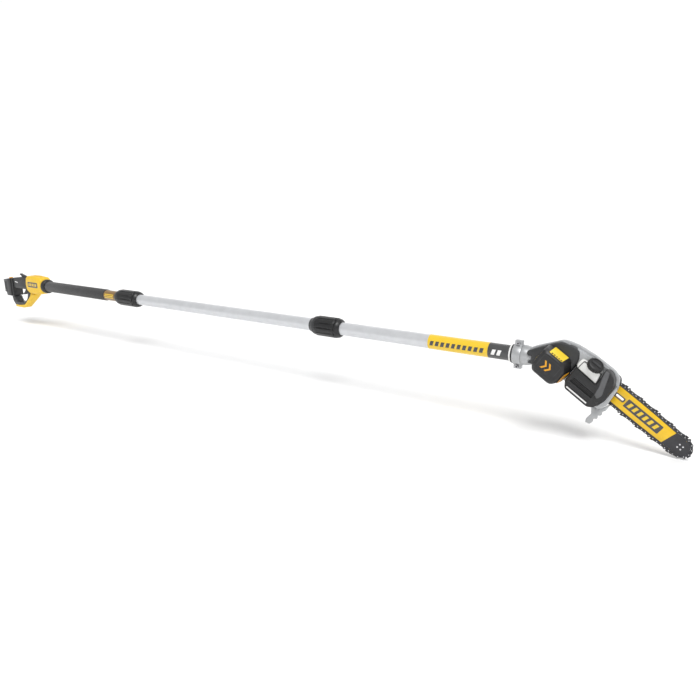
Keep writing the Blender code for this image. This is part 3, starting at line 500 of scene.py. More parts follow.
def build_seal():
    """The white ring and the black seal between the grey label and the clamp; the seal's black also stands as
    painted shadow between the white ring and the clamp.
    """
    x0, x1 = span("seal_ring")
    bore = TUBE_RADIUS + 0.2 * MM
    white = [(x0, bore), (x0, TUBE_RADIUS + 3 * MM), (x0 + 1.2 * MM, TUBE_RADIUS + 3.8 * MM),
             (x0 + 4 * MM, TUBE_RADIUS + 3.8 * MM), (x0 + 4 * MM, bore)]
    on_head("white_ring", lathe(white), "white_film", stands_for=("seal_ring",), smooth=50)
    # black seal ring, its black also painted shadow in the gap before the clamp
    black = [(x0 + 4.1 * MM, bore), (x0 + 4.1 * MM, TUBE_RADIUS + 4.2 * MM),
             (x1 - 0.5 * MM, TUBE_RADIUS + 4.6 * MM), (x1, TUBE_RADIUS + 4.2 * MM), (x1, bore)]
    on_head("seal_and_shadow_ring", lathe(black), "rubber", "black_rubber", smooth=50)


# ---- bar and chain ------------------------------------------------------------------------
BAR_EDGE = 19.0 * MM             # half width of the bar at its two ends
BAR_BELLY = 3.0 * MM             # extra half width half way along
DRIVE_LINKS = 34
CHAIN_LINE = 3.2 * MM            # rivets' height above the bar's edge


def edge_height(s):
    """Half width of the bar at a distance s from the sprocket's centre."""
    return BAR_EDGE + BAR_BELLY * math.sin(math.pi * min(max(s / REACH, 0.0), 1.0))


def chain_path(steps=60):
    """The bar's edge as a closed line of points in the head's frame, towards the nose on top."""
    path = [Vector((REACH * i / steps, edge_height(REACH * i / steps))) for i in range(steps + 1)]
    turns = 24
    for i in range(1, turns):
        angle = math.pi / 2 - math.pi * i / turns
        path.append(Vector((REACH + BAR_EDGE * math.cos(angle), BAR_EDGE * math.sin(angle))))
    for i in range(steps + 1):
        s = REACH * (1 - i / steps)
        path.append(Vector((s, -edge_height(s))))
    for i in range(1, turns):
        angle = -math.pi / 2 - math.pi * i / turns
        path.append(Vector((BAR_EDGE * math.cos(angle), BAR_EDGE * math.sin(angle))))
    return path


class Track:
    """Places along a closed line by distance."""

    def __init__(self, points):
        self.points = points + [points[0]]
        self.at = [0.0]
        for one, two in zip(self.points, self.points[1:]):
            self.at.append(self.at[-1] + (two - one).length)
        self.length = self.at[-1]

    def place(self, s):
        """The point at distance s and the line's direction there."""
        s %= self.length
        k = 0
        while self.at[k + 1] < s:
            k += 1
        one, two = self.points[k], self.points[k + 1]
        t = (s - self.at[k]) / (self.at[k + 1] - self.at[k])
        here = one.lerp(two, t)
        along = (two - one).normalized()
        return here, along

    def chord(self, s0, s1, height):
        """The frame half way along a chord, raised outward, and the chord's length.
        X runs along the chord, Z outward and Y across the bar."""
        p0 = self.raised(s0, height)
        p1 = self.raised(s1, height)
        along = (p1 - p0).normalized()
        middle = (p0 + p1) / 2
        outward = Vector((-along.y, along.x))
        place = Matrix(((along.x, 0, outward.x, middle.x), (0, 1, 0, 0),
                        (along.y, 0, outward.y, middle.y), (0, 0, 0, 1)))
        return place, (p1 - p0).length

    def raised(self, s, height):
        """The point at distance s, moved outward."""
        here, along = self.place(s)
        return here + Vector((-along.y, along.x)) * height


def link_outline(length, radius, waist):
    """A figure-of-eight plate, round at both rivets and narrower between them."""
    points = []
    for i in range(9):
        angle = -math.pi / 2 + math.pi * i / 8
        points.append((length / 2 + radius * math.cos(angle), radius * math.sin(angle)))
    points.append((0, waist))
    for i in range(9):
        angle = math.pi / 2 + math.pi * i / 8
        points.append((-length / 2 + radius * math.cos(angle), radius * math.sin(angle)))
    points.append((0, -waist))
    return points


def cutter_outline(length):
    """Side plate of a cutter: raked tooth at the back, gullet, and a depth gauge in front."""
    half = length / 2
    low = -2.4 * MM
    return [(-half - 2.4 * MM, low), (half + 2.4 * MM, low), (half + 2.8 * MM, 1.0 * MM),
            (half + 2.0 * MM, 3.8 * MM), (half - 0.4 * MM, 4.6 * MM), (half - 1.8 * MM, 3.4 * MM),
            (half - 3.2 * MM, 1.0 * MM), (half - 5.0 * MM, 1.8 * MM), (half - 4.8 * MM, 5.2 * MM),
            (-half - 1.8 * MM, 4.4 * MM), (-half - 2.8 * MM, 2.4 * MM)]


STRAP_Y = (0.75 * MM, 1.75 * MM)  # inner and outer faces of the side plates
DRIVE_HALF = 0.65 * MM
PLATE_RADIUS = 2.5 * MM


def side_strap(length, place, side):
    """A tie strap on one side of the chain."""
    y0, y1 = sorted((side * STRAP_Y[0], side * STRAP_Y[1]))
    return prism(link_outline(length, PLATE_RADIUS, 1.9 * MM), y0, y1, place)


def cutter(length, place, side):
    """A cutter's side plate, and its top plate that reaches over the chain's middle."""
    y0, y1 = sorted((side * STRAP_Y[0], side * STRAP_Y[1]))
    top = [(-length / 2 - 1.6 * MM, 3.7 * MM), (length / 2 - 4.8 * MM, 4.6 * MM),
           (length / 2 - 4.8 * MM, 5.3 * MM), (-length / 2 - 1.6 * MM, 4.4 * MM)]
    top0, top1 = sorted((-0.6 * MM * side, side * STRAP_Y[1]))
    return [prism(cutter_outline(length), y0, y1, place), prism(top, top0, top1, place)]


def rivet(place, end):
    """One rivet across the chain at an end of a link."""
    pin = [(-2.2 * MM, 0), (-2.2 * MM, 1.0 * MM), (-1.9 * MM, 1.3 * MM), (1.9 * MM, 1.3 * MM),
           (2.2 * MM, 1.0 * MM), (2.2 * MM, 0)]
    return lathe(pin, place @ Matrix.Translation((end, 0, 0)) @ QUARTER_TURN, 12)


def drive_link(length, place, tall):
    """A drive link with its tang below, and a bumper on top when it is a tall one."""
    outline = link_outline(length, PLATE_RADIUS, 2.2 * MM)
    outline[-1] = (0, -2.8 * MM)
    outline[9] = (0, 3.8 * MM if tall else 2.2 * MM)
    return prism(outline, -DRIVE_HALF, DRIVE_HALF, place)


def build_chain():
    """Drive links, tie straps, left and right cutters and rivets, laid link by link."""
    track = Track(chain_path())
    pitch = track.length / (2 * DRIVE_LINKS)
    straps, drives, cutters, rivets = [], [], [], []
    for k in range(2 * DRIVE_LINKS):
        place, length = track.chord(k * pitch, (k + 1) * pitch, CHAIN_LINE)
        place = HEAD @ place
        if k % 2 == 0:
            drives.append(drive_link(length, place, k % 4 == 2))
            continue
        number = k // 2
        cutter_side = 1 if number % 4 == 1 else -1
        for side in (-1, 1):
            if number % 2 == 1 and side == cutter_side:
                cutters += cutter(length, place, side)
            else:
                straps.append(side_strap(length, place, side))
        rivets += [rivet(place, end) for end in (-length / 2, length / 2)]
    on_head("chain_straps", joined(straps), "dark_steel", "steel", ("saw_chain",))
    on_head("chain_drive_links", joined(drives), "dark_steel", "steel")
    on_head("chain_cutters", joined(cutters), "dark_steel", "steel", bevel=0.00015, segments=1)
    on_head("chain_rivets", joined(rivets), "bright_steel", "steel", smooth=50)


def nose_arc(radius, first, last):
    """Points of a half circle round the bar's nose, from top to bottom, in 24 steps."""
    angles = [math.pi / 2 - math.pi * i / 24 for i in range(first, last)]
    return [(REACH + radius * math.cos(angle), radius * math.sin(angle)) for angle in angles]


def bar_edge(tail, lift, steps=40):
    """The bar's upper edge from a distance behind the nose, raised by lift."""
    places = [tail + (REACH - tail) * i / steps for i in range(steps + 1)]
    return [(s, edge_height(s) + lift) for s in places]


def bar_band():
    """The bare steel edge of the bar, as one strip round it."""
    loops = []
    for lift in (0.15 * MM, -0.6 * MM):
        top = bar_edge(31 * MM, lift)
        loops.append(top + nose_arc(BAR_EDGE + lift, 1, 24) + [(x, -z) for x, z in reversed(top)])
    bm = bmesh.new()
    rings = [[bm.verts.new((x, y * (BAR_HALF + 0.15 * MM), z)) for x, z in loop]
             for y in (-1, 1) for loop in loops]
    order = (rings[0], rings[1], rings[3], rings[2])
    for a, b in zip(order, order[1:] + order[:1]):
        for i in range(len(a) - 1):
            bm.faces.new((a[i], a[i + 1], b[i + 1], b[i]))
    bm.faces.new([ring[0] for ring in order])
    bm.faces.new([ring[-1] for ring in order])
    bm.transform(HEAD)
    return bm


def on_bar(points, side, low, high):
    """A flat slab on the bar's near (-1) or far (+1) face, between two heights in millimetres."""
    y0, y1 = sorted((side * (BAR_HALF + low * MM), side * (BAR_HALF + high * MM)))
    return prism(points, y0, y1, HEAD)


def bar_rails_and_chain_shade(side, name):
    """Dark strips along both edges of one face: the bar's steel rails, darkened as painted shade of the chain."""
    outer = bar_edge(30 * MM, -0.1 * MM)
    upper = outer + [(x, z - 1.6 * MM) for x, z in reversed(outer)]
    lower = [(x, -z) for x, z in upper]
    add(f"bar_rails_and_chain_shade_{name}", joined([on_bar(points, side, 0, 0.12) for points in (upper, lower)]),
        "dark_steel", "bar", "steel")


def bar_nose(side, name):
    """The dark nose, cut off at a slant, with its rivets."""
    run = 28 * MM
    slope = 7 * MM
    places = [REACH - run + run * i / 12 for i in range(12)]
    top = [(s + slope * 0.5, edge_height(s) - 1.7 * MM) for s in places]
    bottom = [(x - slope, -z) for x, z in reversed(top)]
    outline = top + nose_arc(BAR_EDGE - 0.4 * MM, 0, 25) + bottom
    add(f"bar_nose_{name}", on_bar(outline, side, 0.02, 0.10), "dark_steel", "bar")


def bar_marks(side, name):
    """A generic panel with slanted chips, and the border of the bar's window."""
    panel = rounded(rectangle(128 * MM, 216 * MM, -10.5 * MM, 10.5 * MM), 2 * MM)
    add(f"bar_panel_{name}", on_bar(panel, side, 0.02, 0.08), "dark_film", "bar")
    chips = []
    for i in range(6):
        x = 134 * MM + i * 13 * MM
        chip = [(x, -6 * MM), (x + 7 * MM, -6 * MM), (x + 10 * MM, 6 * MM), (x + 3 * MM, 6 * MM)]
        chips.append(on_bar(rounded(chip, 0.8 * MM, 3), side, 0.09, 0.14))
    add(f"bar_chips_{name}", joined(chips), "yellow_film", "bar")
    window = rounded(rectangle(99.5 * MM, 124.5 * MM, -5.6 * MM, 5.6 * MM), 4 * MM)
    hole = rounded(rectangle(102.5 * MM, 121.5 * MM, -3.0 * MM, 3.0 * MM), 2.8 * MM)
    y0, y1 = side * (BAR_HALF + 0.02 * MM), side * (BAR_HALF + 0.08 * MM)
    add(f"bar_window_{name}", frame_ring(window, hole, y0, y1, HEAD), "dark_film", "bar")


def nose_rivets(side, name):
    """Four rivets round the nose sprocket's axis."""
    ring = 5.5 * MM
    pin = [(-0.1 * MM, 0), (-0.1 * MM, 1.9 * MM), (0.25 * MM, 1.7 * MM), (0.25 * MM, 0)]
    turned = Matrix.Rotation(side * math.pi / 2, 4, "Z")
    pins = []
    for k in range(4):
        angle = math.pi / 4 + math.pi / 2 * k
        spot = (REACH + ring * math.cos(angle), side * BAR_HALF, ring * math.sin(angle))
        pins.append(lathe(pin, HEAD @ Matrix.Translation(spot) @ turned, 20))
    add(f"nose_rivets_{name}", joined(pins), "bright_steel", "bar", "steel", smooth=50)


def build_bar():
    """The painted bar with its steel rails darkened as painted shade of the chain, dark nose and generic marks."""
    refine("guide_bar", "bar_paint", 0.0003, 1)
    add("bar_band", bar_band(), "dark_steel", "bar", "steel")
    for side, name in ((-1, "near"), (1, "far")):
        bar_rails_and_chain_shade(side, name)
        bar_nose(side, name)
        bar_marks(side, name)
        nose_rivets(side, name)


# ---- head ---------------------------------------------------------------------------------
# the case frame: the head's frame with its origin where the bar's line crosses the pole
CASE = HEAD @ Matrix.Translation((-5 * MM, -8 * MM, 0))
# places across the case frame, in millimetres; the near side is negative
CASTING_FACE = -9.8              # just under the casting's near face
COVER_FACE = -62.0               # near face of the motor cover
FAR_FACE = 22.0                  # far face of the sprocket cover


def mm(points):
    """An outline in millimetres, turned into metres."""
    return [(x * MM, z * MM) for x, z in points]


def case_prism(points, y0, y1, radius=0.0, steps=4):
    """A prism drawn in the case frame, in millimetres."""
    outline = rounded(mm(points), radius * MM, steps) if radius else mm(points)
    return prism(outline, y0 * MM, y1 * MM, CASE)


def across(a, y, n, place=CASE):
    """A lathe frame along +Y at a point given in millimetres."""
    return place @ Matrix.Translation((a * MM, y * MM, n * MM)) @ QUARTER_TURN


def quad_patch(corners, thick, radius=3.0, steps=4):
    """A slab with round corners laid on four (a, y, n) corners of the case frame, in millimetres."""
    p0, p1, p2, p3 = [Vector(c) * MM for c in corners]
    wide = (p1 - p0).length
    tall = (p3 - p0).length
    normal = (p1 - p0).cross(p3 - p0).normalized() * thick * MM
    outline = rounded(rectangle(0, wide, 0, tall), radius * MM, steps)
    bm = bmesh.new()
    rings = []
    for lift in (0.0, 1.0):
        ring = []
        for u, v in outline:
            s, t = u / wide, v / tall
            spot = (p0 * (1 - s) + p1 * s) * (1 - t) + (p3 * (1 - s) + p2 * s) * t
            ring.append(bm.verts.new(spot + normal * lift))
        rings.append(ring)
    count = len(outline)
    for i in range(count):
        j = (i + 1) % count
        bm.faces.new((rings[0][i], rings[0][j], rings[1][j], rings[1][i]))
    bm.faces.new(rings[0])
    bm.faces.new(rings[1])
    bm.transform(CASE)
    return bm


def screw_head(name, place, body, radius):
    """A pan head with a six-sided socket."""
    def socket(angle, x, r):
        """Six-sided inside, round outside."""
        return hexagon(angle, x, r) if r <= radius * 0.6 * MM else 0.0

    r = radius * MM
    profile = [(-1.2 * MM, 0), (-1.2 * MM, r * 0.5), (-2.4 * MM, r * 0.5), (-2.6 * MM, r * 0.85),
               (-2.2 * MM, r), (0, r), (0, 0)]
    add(name, lathe(profile, place, 36, socket), "steel", body, "steel", smooth=40)


def cast_rib(name, outline, near, radius, bevel):
    """A raised part of the casting."""
    on_head(name, case_prism(outline, near, CASTING_FACE, radius), "cast", "cast_alloy", bevel=bevel * MM)


def build_case():
    """The silver casting with its web, ribs, clamp and branch hook, and painted shade in the clamp screws'
    sockets.
    """
    refine("gear_case", "cast", 0.0009, 3)
    refine("clamp_cap", "cast", 0.0007, 2)
    refine("branch_hook", "cast", 0.0009, 2)
    # black six-sided discs laid on the clamp screws' near faces: painted shade of their sockets
    recess = [(-0.05 * MM, 0), (-0.05 * MM, 2.3 * MM), (0.3 * MM, 2.3 * MM), (0.3 * MM, 0)]
    for node in ("clamp_screw_upper", "clamp_screw_lower"):
        refine(node, "steel", 0.0003, 2)
        low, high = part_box(node)
        middle = (low + high) / 2
        place = Matrix.Translation((middle.x, low.y, middle.z)) @ QUARTER_TURN
        on_head(node + "_socket", lathe(recess, place, 36, hexagon), "black", smooth=40)
    web = [(-20, 31), (20, 37), (20, 30), (11, 25), (8, 10), (10, 3), (4, 4), (2, 18), (-6, 27)]
    cast_rib("case_web", web, -19, 2.0, 0.8)
    rim = [(-50, 20), (-16, 28.5), (22, 34.5), (72, 37), (88, 31.5), (90, 34), (73, 40), (22, 38),
           (-16, 32), (-50, 24)]
    cast_rib("case_rim", rim, -14, 0.8, 0.6)
    nose = [(97, 22), (103, 17), (109, -25), (101, -44), (94, -44), (99, -20), (97, 10)]
    cast_rib("case_nose", nose, -20, 2.5, 1.2)


def chevron(x, z, size, thick):
    """One arrow-shaped bar pointing along +X."""
    return [(x, z - size), (x + thick, z - size), (x + thick + size * 0.7, z), (x + thick, z + size),
            (x, z + size), (x + size * 0.7, z)]


def build_vents():
    """The yellow upper vent and the orange lower vent, each with a dark rim and black strips painted as the shade
    in their openings.
    """
    rim = quad_patch([(-54.5, -59.5, -0.6), (-17.5, -59.5, -0.6), (-13.5, -25.0, 6.0),
                      (-53.5, -25.0, 6.0)], 1.0, 3)
    on_head("upper_vent_rim", rim, "black", "black_plastic", bevel=0.0006)
    face = quad_patch([(-53, -58, 0.0), (-19, -58, 0.0), (-15.5, -26.0, 6.3), (-52, -26.0, 6.3)], 1.3, 2.5)
    on_head("upper_vent_face", face, "bright_yellow", "yellow_plastic", ("upper_vent",), bevel=0.0005)
    # black strips on the yellow vent: painted shade of its openings
    slot_shades = [quad_patch([(a, -57.6, 1.6), (a + 3.5, -57.6, 1.6), (a + 4, -54.0, 2.3), (a + 0.5, -54.0, 2.3)],
                        0.4, 0.8) for a in range(-48, -18, 6)]
    on_head("upper_vent_slot_shades", joined(slot_shades), "black")
    rim = quad_patch([(0.9, -58.5, -45.5), (4.9, -27.5, -45.5), (4.9, -27.5, -13.0), (0.9, -58.5, -19)],
                     1.0, 5)
    on_head("lower_vent_rim", rim, "black", "black_plastic", bevel=0.0006)
    face = quad_patch([(1.5, -57, -44), (5.2, -29, -44), (5.2, -29, -15), (1.5, -57, -21)], 1.3, 5)
    on_head("lower_vent_face", face, "orange", "orange_plastic", ("lower_vent",), bevel=0.0005)
    # black strips on the orange vent: painted shade of its openings
    slot_shades = [quad_patch([(3.0, -54.5, n), (6.2, -30.5, n), (6.2, -30.5, n + 1.4), (3.0, -54.5, n + 1.4)],
                        0.35, 0.6) for n in range(-41, -21, 5)]
    on_head("lower_vent_slot_shades", joined(slot_shades), "black")


def build_motor():
    """Motor housing, the cover with its vents, accent line, a generic chevron mark and a lighter border painted as
    a highlight on the panel's edge.
    """
    refine("motor_housing", "charcoal", 0.0012, 3)
    refine("motor_cover", "black", 0.0014, 3)
    build_vents()
    edge = [case_prism(rectangle(-67.1, -66.2, -40, -14), -46, -43.5),
            case_prism(rectangle(-56, -14, -58.6, -57.8), -46, -43.5)]
    on_head("accent_line", joined(edge), "bright_yellow", "yellow_plastic")
    marks = [case_prism(chevron(-48 + 11 * i, -28, 10, 4.5), COVER_FACE - 0.12, COVER_FACE + 0.1, 0.6)
             for i in range(2)]
    on_head("cover_mark", joined(marks), "orange")
    # a charcoal frame, lighter than the black cover: painted highlight along the panel's edge
    outer = rounded(mm(rectangle(-57, -11, -50, -8)), 4 * MM)
    inner = rounded(mm(rectangle(-56, -12, -49, -9)), 4 * MM)
    border = frame_ring(outer, inner, (COVER_FACE - 0.1) * MM, (COVER_FACE + 0.1) * MM, CASE)
    on_head("cover_border_highlight", border, "charcoal")
    looks = {"stator": "copper", "motor_rotor": "steel", "drive_gear": "steel", "sprocket": "steel",
             "spindle_bearing": "steel", "bar_stud": "steel", "tension_carrier": "steel",
             "tension_screw": "steel", "nose_sprocket": "dark_steel", "bar_nut": "steel"}
    for node, look in looks.items():
        refine(node, look, 0.0003, 1)


def build_tank():
    """Oil tank, and its cover with recess, sight strip and end block."""
    refine("oil_tank", "tank", 0.0008, 3)
    refine("tank_cover", "black", 0.0012, 3)
    outer = rounded(mm(rectangle(16.2, 76.8, -29.8, -13.2)), 3 * MM)
    inner = rounded(mm(rectangle(17.6, 75.4, -28.4, -14.6)), 2.5 * MM)
    on_head("recess_frame", frame_ring(outer, inner, -37.6 * MM, -35 * MM, CASE), "charcoal",
            "black_plastic", bevel=0.0003)
    ribs = [case_prism(rectangle(20, 73, n, n + 1.2), -34.6, -32.8) for n in (-26.5, -23, -19.5)]
    on_head("recess_ribs", joined(ribs), "black", "black_plastic", bevel=0.0003)
    strip = case_prism(rectangle(21, 75, -44.8, -41.2), -37.5, -36.0, 1.5)
    on_head("sight_strip", strip, "white_film", "tank_plastic", bevel=0.0004)
    lips = [case_prism(rectangle(19, 77, n, n + 1.0), -37.9, -35.5, 0.4) for n in (-46.4, -40.6)]
    on_head("sight_lips", joined(lips), "charcoal", "black_plastic")
    pale = [(59, 40), (67, 42), (72, 34), (88, -8), (84, -20), (75, -16), (71, 4), (63, 24)]
    on_head("end_block", case_prism(pale, -39.5, -36.4, 3), "grey", "grey_plastic", bevel=0.0012)
    dark = [(69, 41.5), (84, 33), (93, 16), (96, -14), (88, -30), (79, -22), (87, -8), (74, 30)]
    on_head("end_face", case_prism(dark, -38.6, -36.4, 3), "black", "black_plastic", bevel=0.0010)
    outer = rounded(mm([(12.6, 26.4), (11.6, 3.4), (64, 1.6), (57.4, 27.4)]), 3 * MM)
    inner = rounded(mm([(14, 25), (13, 5), (62, 3.2), (56, 26)]), 3 * MM)
    on_head("tank_frame", frame_ring(outer, inner, -34.2 * MM, -31 * MM, CASE), "black",
            "black_plastic", bevel=0.0003)


def build_cap():
    """The oil cap with a knurled rim, and a bar across it to turn it by."""
    cap = JOINT["oil_cap_turn"]
    axis = Vector(cap["axis"]).normalized()
    side = BAR_DIRECTION
    turned = Matrix((axis, side, axis.cross(side))).transposed().to_4x4()
    place = Matrix.Translation(Vector(cap["pos_m"])) @ turned
    radius = 17.6 * MM

    def grips(angle, x, r):
        """Eighteen shallow grooves in the rim."""
        if r <= 16.5 * MM or x >= 11.5 * MM:
            return 0.0
        return -1.5 * MM * max(0.0, math.cos(18 * angle)) ** 2

    profile = [(2.4 * MM, 0), (2.4 * MM, 16.4 * MM), (3.4 * MM, radius)]
    profile += [(3.4 * MM + 8 * MM * i / 6, radius) for i in range(1, 7)]
    profile += [(12.8 * MM, 16.4 * MM), (13.6 * MM, 15.2 * MM), (13.6 * MM, 13.4 * MM),
                (12.2 * MM, 12.8 * MM), (12.2 * MM, 0)]
    add("oil_cap_skin", lathe(profile, place, 180, grips), "black", "oil_cap", "black_plastic",
        ("oil_cap",), smooth=40)
    bar = rounded(mm(rectangle(-11.5, 11.5, -2.6, 2.6)), 2.4 * MM)
    grip = prism(bar, 0, 1.7 * MM, Matrix.Identity(4))
    grip.transform(place @ Matrix.Translation((12.1 * MM, 0, 0)) @ QUARTER_TURN.inverted())
    add("oil_cap_grip", grip, "charcoal", "oil_cap", "black_plastic", bevel=0.0005)


def build_cover():
    """The far side cover with ribs, chevrons, screws and a ring round its nut."""
    refine("sprocket_cover", "black", 0.0012, 3)
    ribs = [case_prism(rectangle(x, x + 2.2, -26, 26), FAR_FACE - 0.3, FAR_FACE + 1.4, 0.8)
            for x in (74, 79, 84, 89)]
    add("cover_ribs", joined(ribs), "charcoal", "cover", "black_plastic", bevel=0.0004)
    ring = [(-0.3 * MM, 13 * MM), (1.6 * MM, 13 * MM), (2.2 * MM, 13.8 * MM), (2.2 * MM, 15.4 * MM),
            (1.6 * MM, 16.2 * MM), (-0.3 * MM, 16.2 * MM)]
    add("nut_ring", lathe(ring, across(58, FAR_FACE, 0), 64), "charcoal", "cover", "black_plastic",
        smooth=40)
    arrows = [case_prism(chevron(-12 + 12 * i, 0, 7, 3.5), 31.9, 32.1) for i in range(2)]
    add("cover_chevrons", joined(arrows), "orange", "cover")
    for i, (a, n) in enumerate(((-22, 0), (30, 24), (30, -24))):
        screw_head(f"cover_screw_{i}", across(a, FAR_FACE + 0.1, n) @ HALF_TURN, "cover", 2.6)


# ---- handle -------------------------------------------------------------------------------
GUARD = Vector(frame["record"]["mounts"][0]["pos_m"])
HANDLE = Matrix.Translation((GUARD.x + 20 * MM, AXIS.y, AXIS.z))


NOSE_SIDE = 23.0                 # half widths of the handle's parts, in millimetres
GRIP_SIDE = 17.0
STRUT_SIDE = 15.0
BATTERY_SIDE = 23.0


def handle_prism(points, y0, y1, radius=0.0):
    """A prism drawn in the handle's frame, in millimetres."""
    outline = rounded(mm(points), radius * MM, 4) if radius else mm(points)
    return prism(outline, y0 * MM, y1 * MM, HANDLE)


def side_slab(points, side, low, high, radius):
    """A slab on the near (-1) or far (+1) side, between two distances from the middle plane."""
    y0, y1 = sorted((side * low, side * high))
    return handle_prism(points, y0, y1, radius)


def build_nose_ring():
    """The ring where the rear tube leaves the handle, stepped down to the foam sleeve."""
    x0, x1 = span("nose_ring")
    big = outer_radius("nose_ring")
    bore = TUBE_RADIUS + 0.5 * MM
    counterbore = TUBE_RADIUS + 3.3 * MM
    profile = [(x0, bore), (x0, big - 1.5 * MM), (x0 + 1.0 * MM, big - 0.3 * MM), (x0 + 3 * MM, big),
               (x1 - 7 * MM, big), (x1 - 5.4 * MM, big - 0.6 * MM), (x1 - 1.0 * MM, big - 3.0 * MM),
               (x1, big - 3.8 * MM), (x1, counterbore), (x1 - 12 * MM, counterbore), (x1 - 12 * MM, bore)]
    add("nose_ring_skin", lathe(profile), "black", "rear_section", "black_plastic", ("nose_ring",), smooth=40)


def handle_marks(side, name):
    """Generic panel, a pale slanted mark on the grip, and ribs on one side of the handle and battery."""
    panel = side_slab(rectangle(72, 142, -8, 13), side, NOSE_SIDE - 0.1, NOSE_SIDE + 0.25, 4)
    add(f"nose_panel_{name}", panel, "dark_film", "rear_section", bevel=0.0001)
    chips = [side_slab([(x, -3), (x + 7, -3), (x + 9.5, 8), (x + 2.5, 8)], side, NOSE_SIDE + 0.2,
                       NOSE_SIDE + 0.4, 0.8) for x in range(78, 138, 12)]
    add(f"nose_chips_{name}", joined(chips), "yellow_film", "rear_section")
    # a pale slanted mark on the grip's side
    pale_mark = side_slab([(-36, 4), (-14, 1), (-14, 4.5), (-36, 7.5)], side, GRIP_SIDE - 0.3,
                      GRIP_SIDE + 0.5, 1.2)
    add(f"grip_pale_mark_{name}", pale_mark, "white_film", "rear_section")
    slats = [side_slab(rectangle(-72 + 0.6 * i, -58 + 0.2 * i, -64 - 6 * i, -62 - 6 * i), side,
                       STRUT_SIDE - 0.3, STRUT_SIDE + 0.8, 0.8) for i in range(4)]
    add(f"column_ribs_{name}", joined(slats), "black", "rear_section", "black_plastic")
    ribs = [side_slab(rectangle(x, x + 2.4, -42, 2), side, BATTERY_SIDE - 0.3, BATTERY_SIDE + 0.6, 0.9)
            for x in range(-109, -89, 5)]
    add(f"battery_ribs_{name}", joined(ribs), "charcoal", "battery", "grey_plastic")


def build_handle():
    """Grip, column, nose, guard, trigger group, dock and battery."""
    looks = {
        "grip_shell_left": ("charcoal", 1.2), "grip_shell_right": ("charcoal", 1.2),
        "handle_column": ("charcoal", 1.4), "guard_strut": ("yellow", 1.4),
        "nose_shell_left": ("yellow", 1.6), "nose_shell_right": ("yellow", 1.6),
        "battery_dock": ("black", 0.8), "trigger": ("black", 1.0), "lock_off_lever": ("black", 0.8),
        "battery_case_rear": ("grey", 1.0), "battery_case_front": ("black", 0.8),
        "battery_button": ("orange", 0.8), "switch_module": ("grey", 0.5), "trigger_pin": ("steel", 0.3),
        "battery_cells": ("copper", 0.5)}
    for node, (look, bevel) in looks.items():
        refine(node, look, bevel * MM, 3)
    build_nose_ring()
    for side, name in ((-1, "near"), (1, "far")):
        handle_marks(side, name)
    crest = [(76, 35), (112, 36.5), (156, 33), (156, 35.4), (112, 38.9), (76, 37.6)]
    ridges = [handle_prism(crest, y - 1.2, y + 1.2, 0.4) for y in (-7, 7)]
    add("nose_ridges", joined(ridges), "yellow", "rear_section", "yellow_plastic", bevel=0.0004)
    screws = ((68, -20, NOSE_SIDE), (148, -22, NOSE_SIDE), (148, 24, NOSE_SIDE), (-28, -2, GRIP_SIDE))
    for i, (x, z, face) in enumerate(screws):
        screw_head(f"handle_screw_{i}", across(x, face - 1.9, z, HANDLE) @ HALF_TURN, "rear_section", 2.8)


def build_plain():
    """The remaining pieces: plugs and thrust rings in the couplings, wires in the tubes."""
    looks = {"rear_thrust_ring": "steel", "front_thrust_ring": "steel", "extension_plug": "grey",
             "head_plug": "grey", "rear_wire": "rubber", "extension_wire": "rubber", "head_wire": "rubber"}
    for node, look in looks.items():
        refine(node, look, 0.0003, 1)


# ---- stage --------------------------------------------------------------------------------
FOCAL = 31.63                    # on a 36 mm sensor
CAMERA_FROM_CLAMP = Vector((0.45708, -1.37176, 0.36342))
CAMERA_TURN = math.radians(56.254)      # between the pole's normal and the view, seen from above
CAMERA_DIP = math.radians(14.299)
WORLD_STRENGTH = 0.62
KEY_POWER = 1.9
KEY_SPREAD = math.radians(30)
KEY_DIRECTION = Vector((-0.30, 0.40, -0.86))
FLOOR_X = (-70.0, 30.0)
FLOOR_HALF = 20.0                # from the middle to the wall behind the saw
WALL_HEIGHT = 40.0
WALL_CURVE = 6.0                 # radius between floor and wall
FLOOR_DROP = 0.0005              # keeps the floor just below the saw


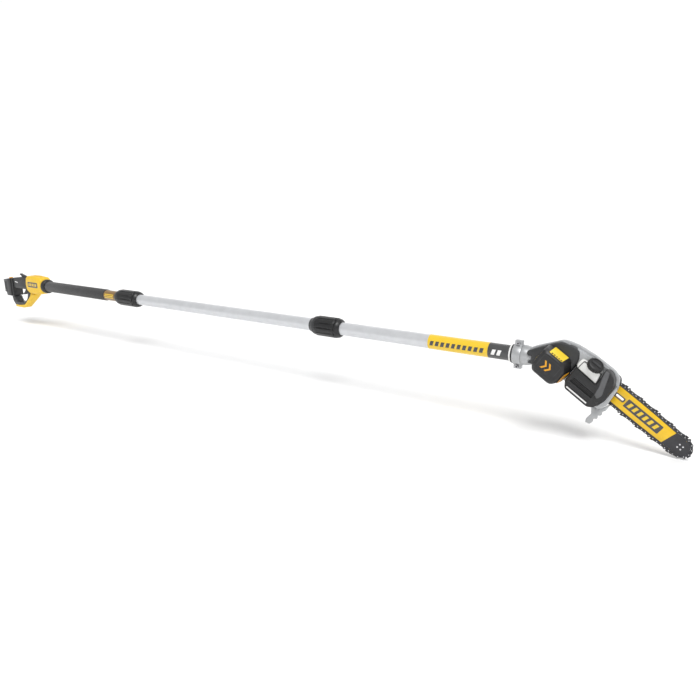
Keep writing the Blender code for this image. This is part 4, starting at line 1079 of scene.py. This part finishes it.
def build_camera():
    """The camera at the photo's viewing angle, placed from the front end of the pole."""
    data = bpy.data.cameras.new("camera")
    data.lens = FOCAL
    data.sensor_width = 36.0
    data.clip_start = 0.01
    data.clip_end = 60.0
    camera = placed("camera", data)
    forward = Vector((-math.cos(CAMERA_TURN) * math.cos(CAMERA_DIP),
                      math.sin(CAMERA_TURN) * math.cos(CAMERA_DIP), -math.sin(CAMERA_DIP)))
    camera.location = Vector((CLAMP_X, AXIS.y, AXIS.z)) + CAMERA_FROM_CLAMP
    camera.rotation_euler = forward.to_track_quat("-Z", "Y").to_euler()
    bpy.context.scene.camera = camera


def paper():
    """Nearly white paper for the floor."""
    made, tree, shader = new_material("studio_paper")
    fill(shader, {"Roughness": 0.9, "Specular IOR Level": 0.1})
    paint = blend_colours(tree, noise(tree, 1.5, 2.0), (0.95, 0.95, 0.95), (0.97, 0.97, 0.97))
    link(tree, paint, shader.inputs["Base Color"])
    return made


def build_floor():
    """A pale seamless floor that curves up into a wall behind the saw."""
    steps = 12
    profile = [(-FLOOR_HALF, 0.0)]
    for i in range(steps + 1):
        angle = math.pi / 2 * i / steps
        profile.append((FLOOR_HALF - WALL_CURVE + WALL_CURVE * math.sin(angle),
                        WALL_CURVE - WALL_CURVE * math.cos(angle)))
    profile.append((FLOOR_HALF, WALL_HEIGHT))
    bm = bmesh.new()
    rows = [[bm.verts.new((x, y, z - FLOOR_DROP)) for x in FLOOR_X] for y, z in profile]
    for one, two in zip(rows, rows[1:]):
        bm.faces.new((one[0], one[1], two[1], two[0]))
    mesh = bpy.data.meshes.new("studio_floor")
    bm.to_mesh(mesh)
    bm.free()
    mesh.materials.append(paper())
    mesh.shade_smooth()
    placed("studio_floor", mesh)


def build_light():
    """An even white world and one wide sun, from above the head and in front."""
    world = bpy.data.worlds.new("studio_world")
    world.use_nodes = True
    fill(world.node_tree.nodes["Background"], {"Color": (1, 1, 1, 1), "Strength": WORLD_STRENGTH})
    bpy.context.scene.world = world
    data = bpy.data.lights.new("key", "SUN")
    data.energy = KEY_POWER
    data.angle = KEY_SPREAD
    placed("key", data).rotation_euler = KEY_DIRECTION.to_track_quat("-Z", "Y").to_euler()
    bpy.context.scene.view_settings.view_transform = "Standard"


build_camera()
build_floor()
build_light()
build_tubes()
for collar in ("rear_collar", "front_collar"):
    build_collar(collar)
for socket in ("rear_socket", "extension_socket"):
    build_socket(socket)
build_labels()
build_seal()
build_bar()
build_chain()
build_case()
build_motor()
build_tank()
build_cap()
build_cover()
build_handle()
build_plain()
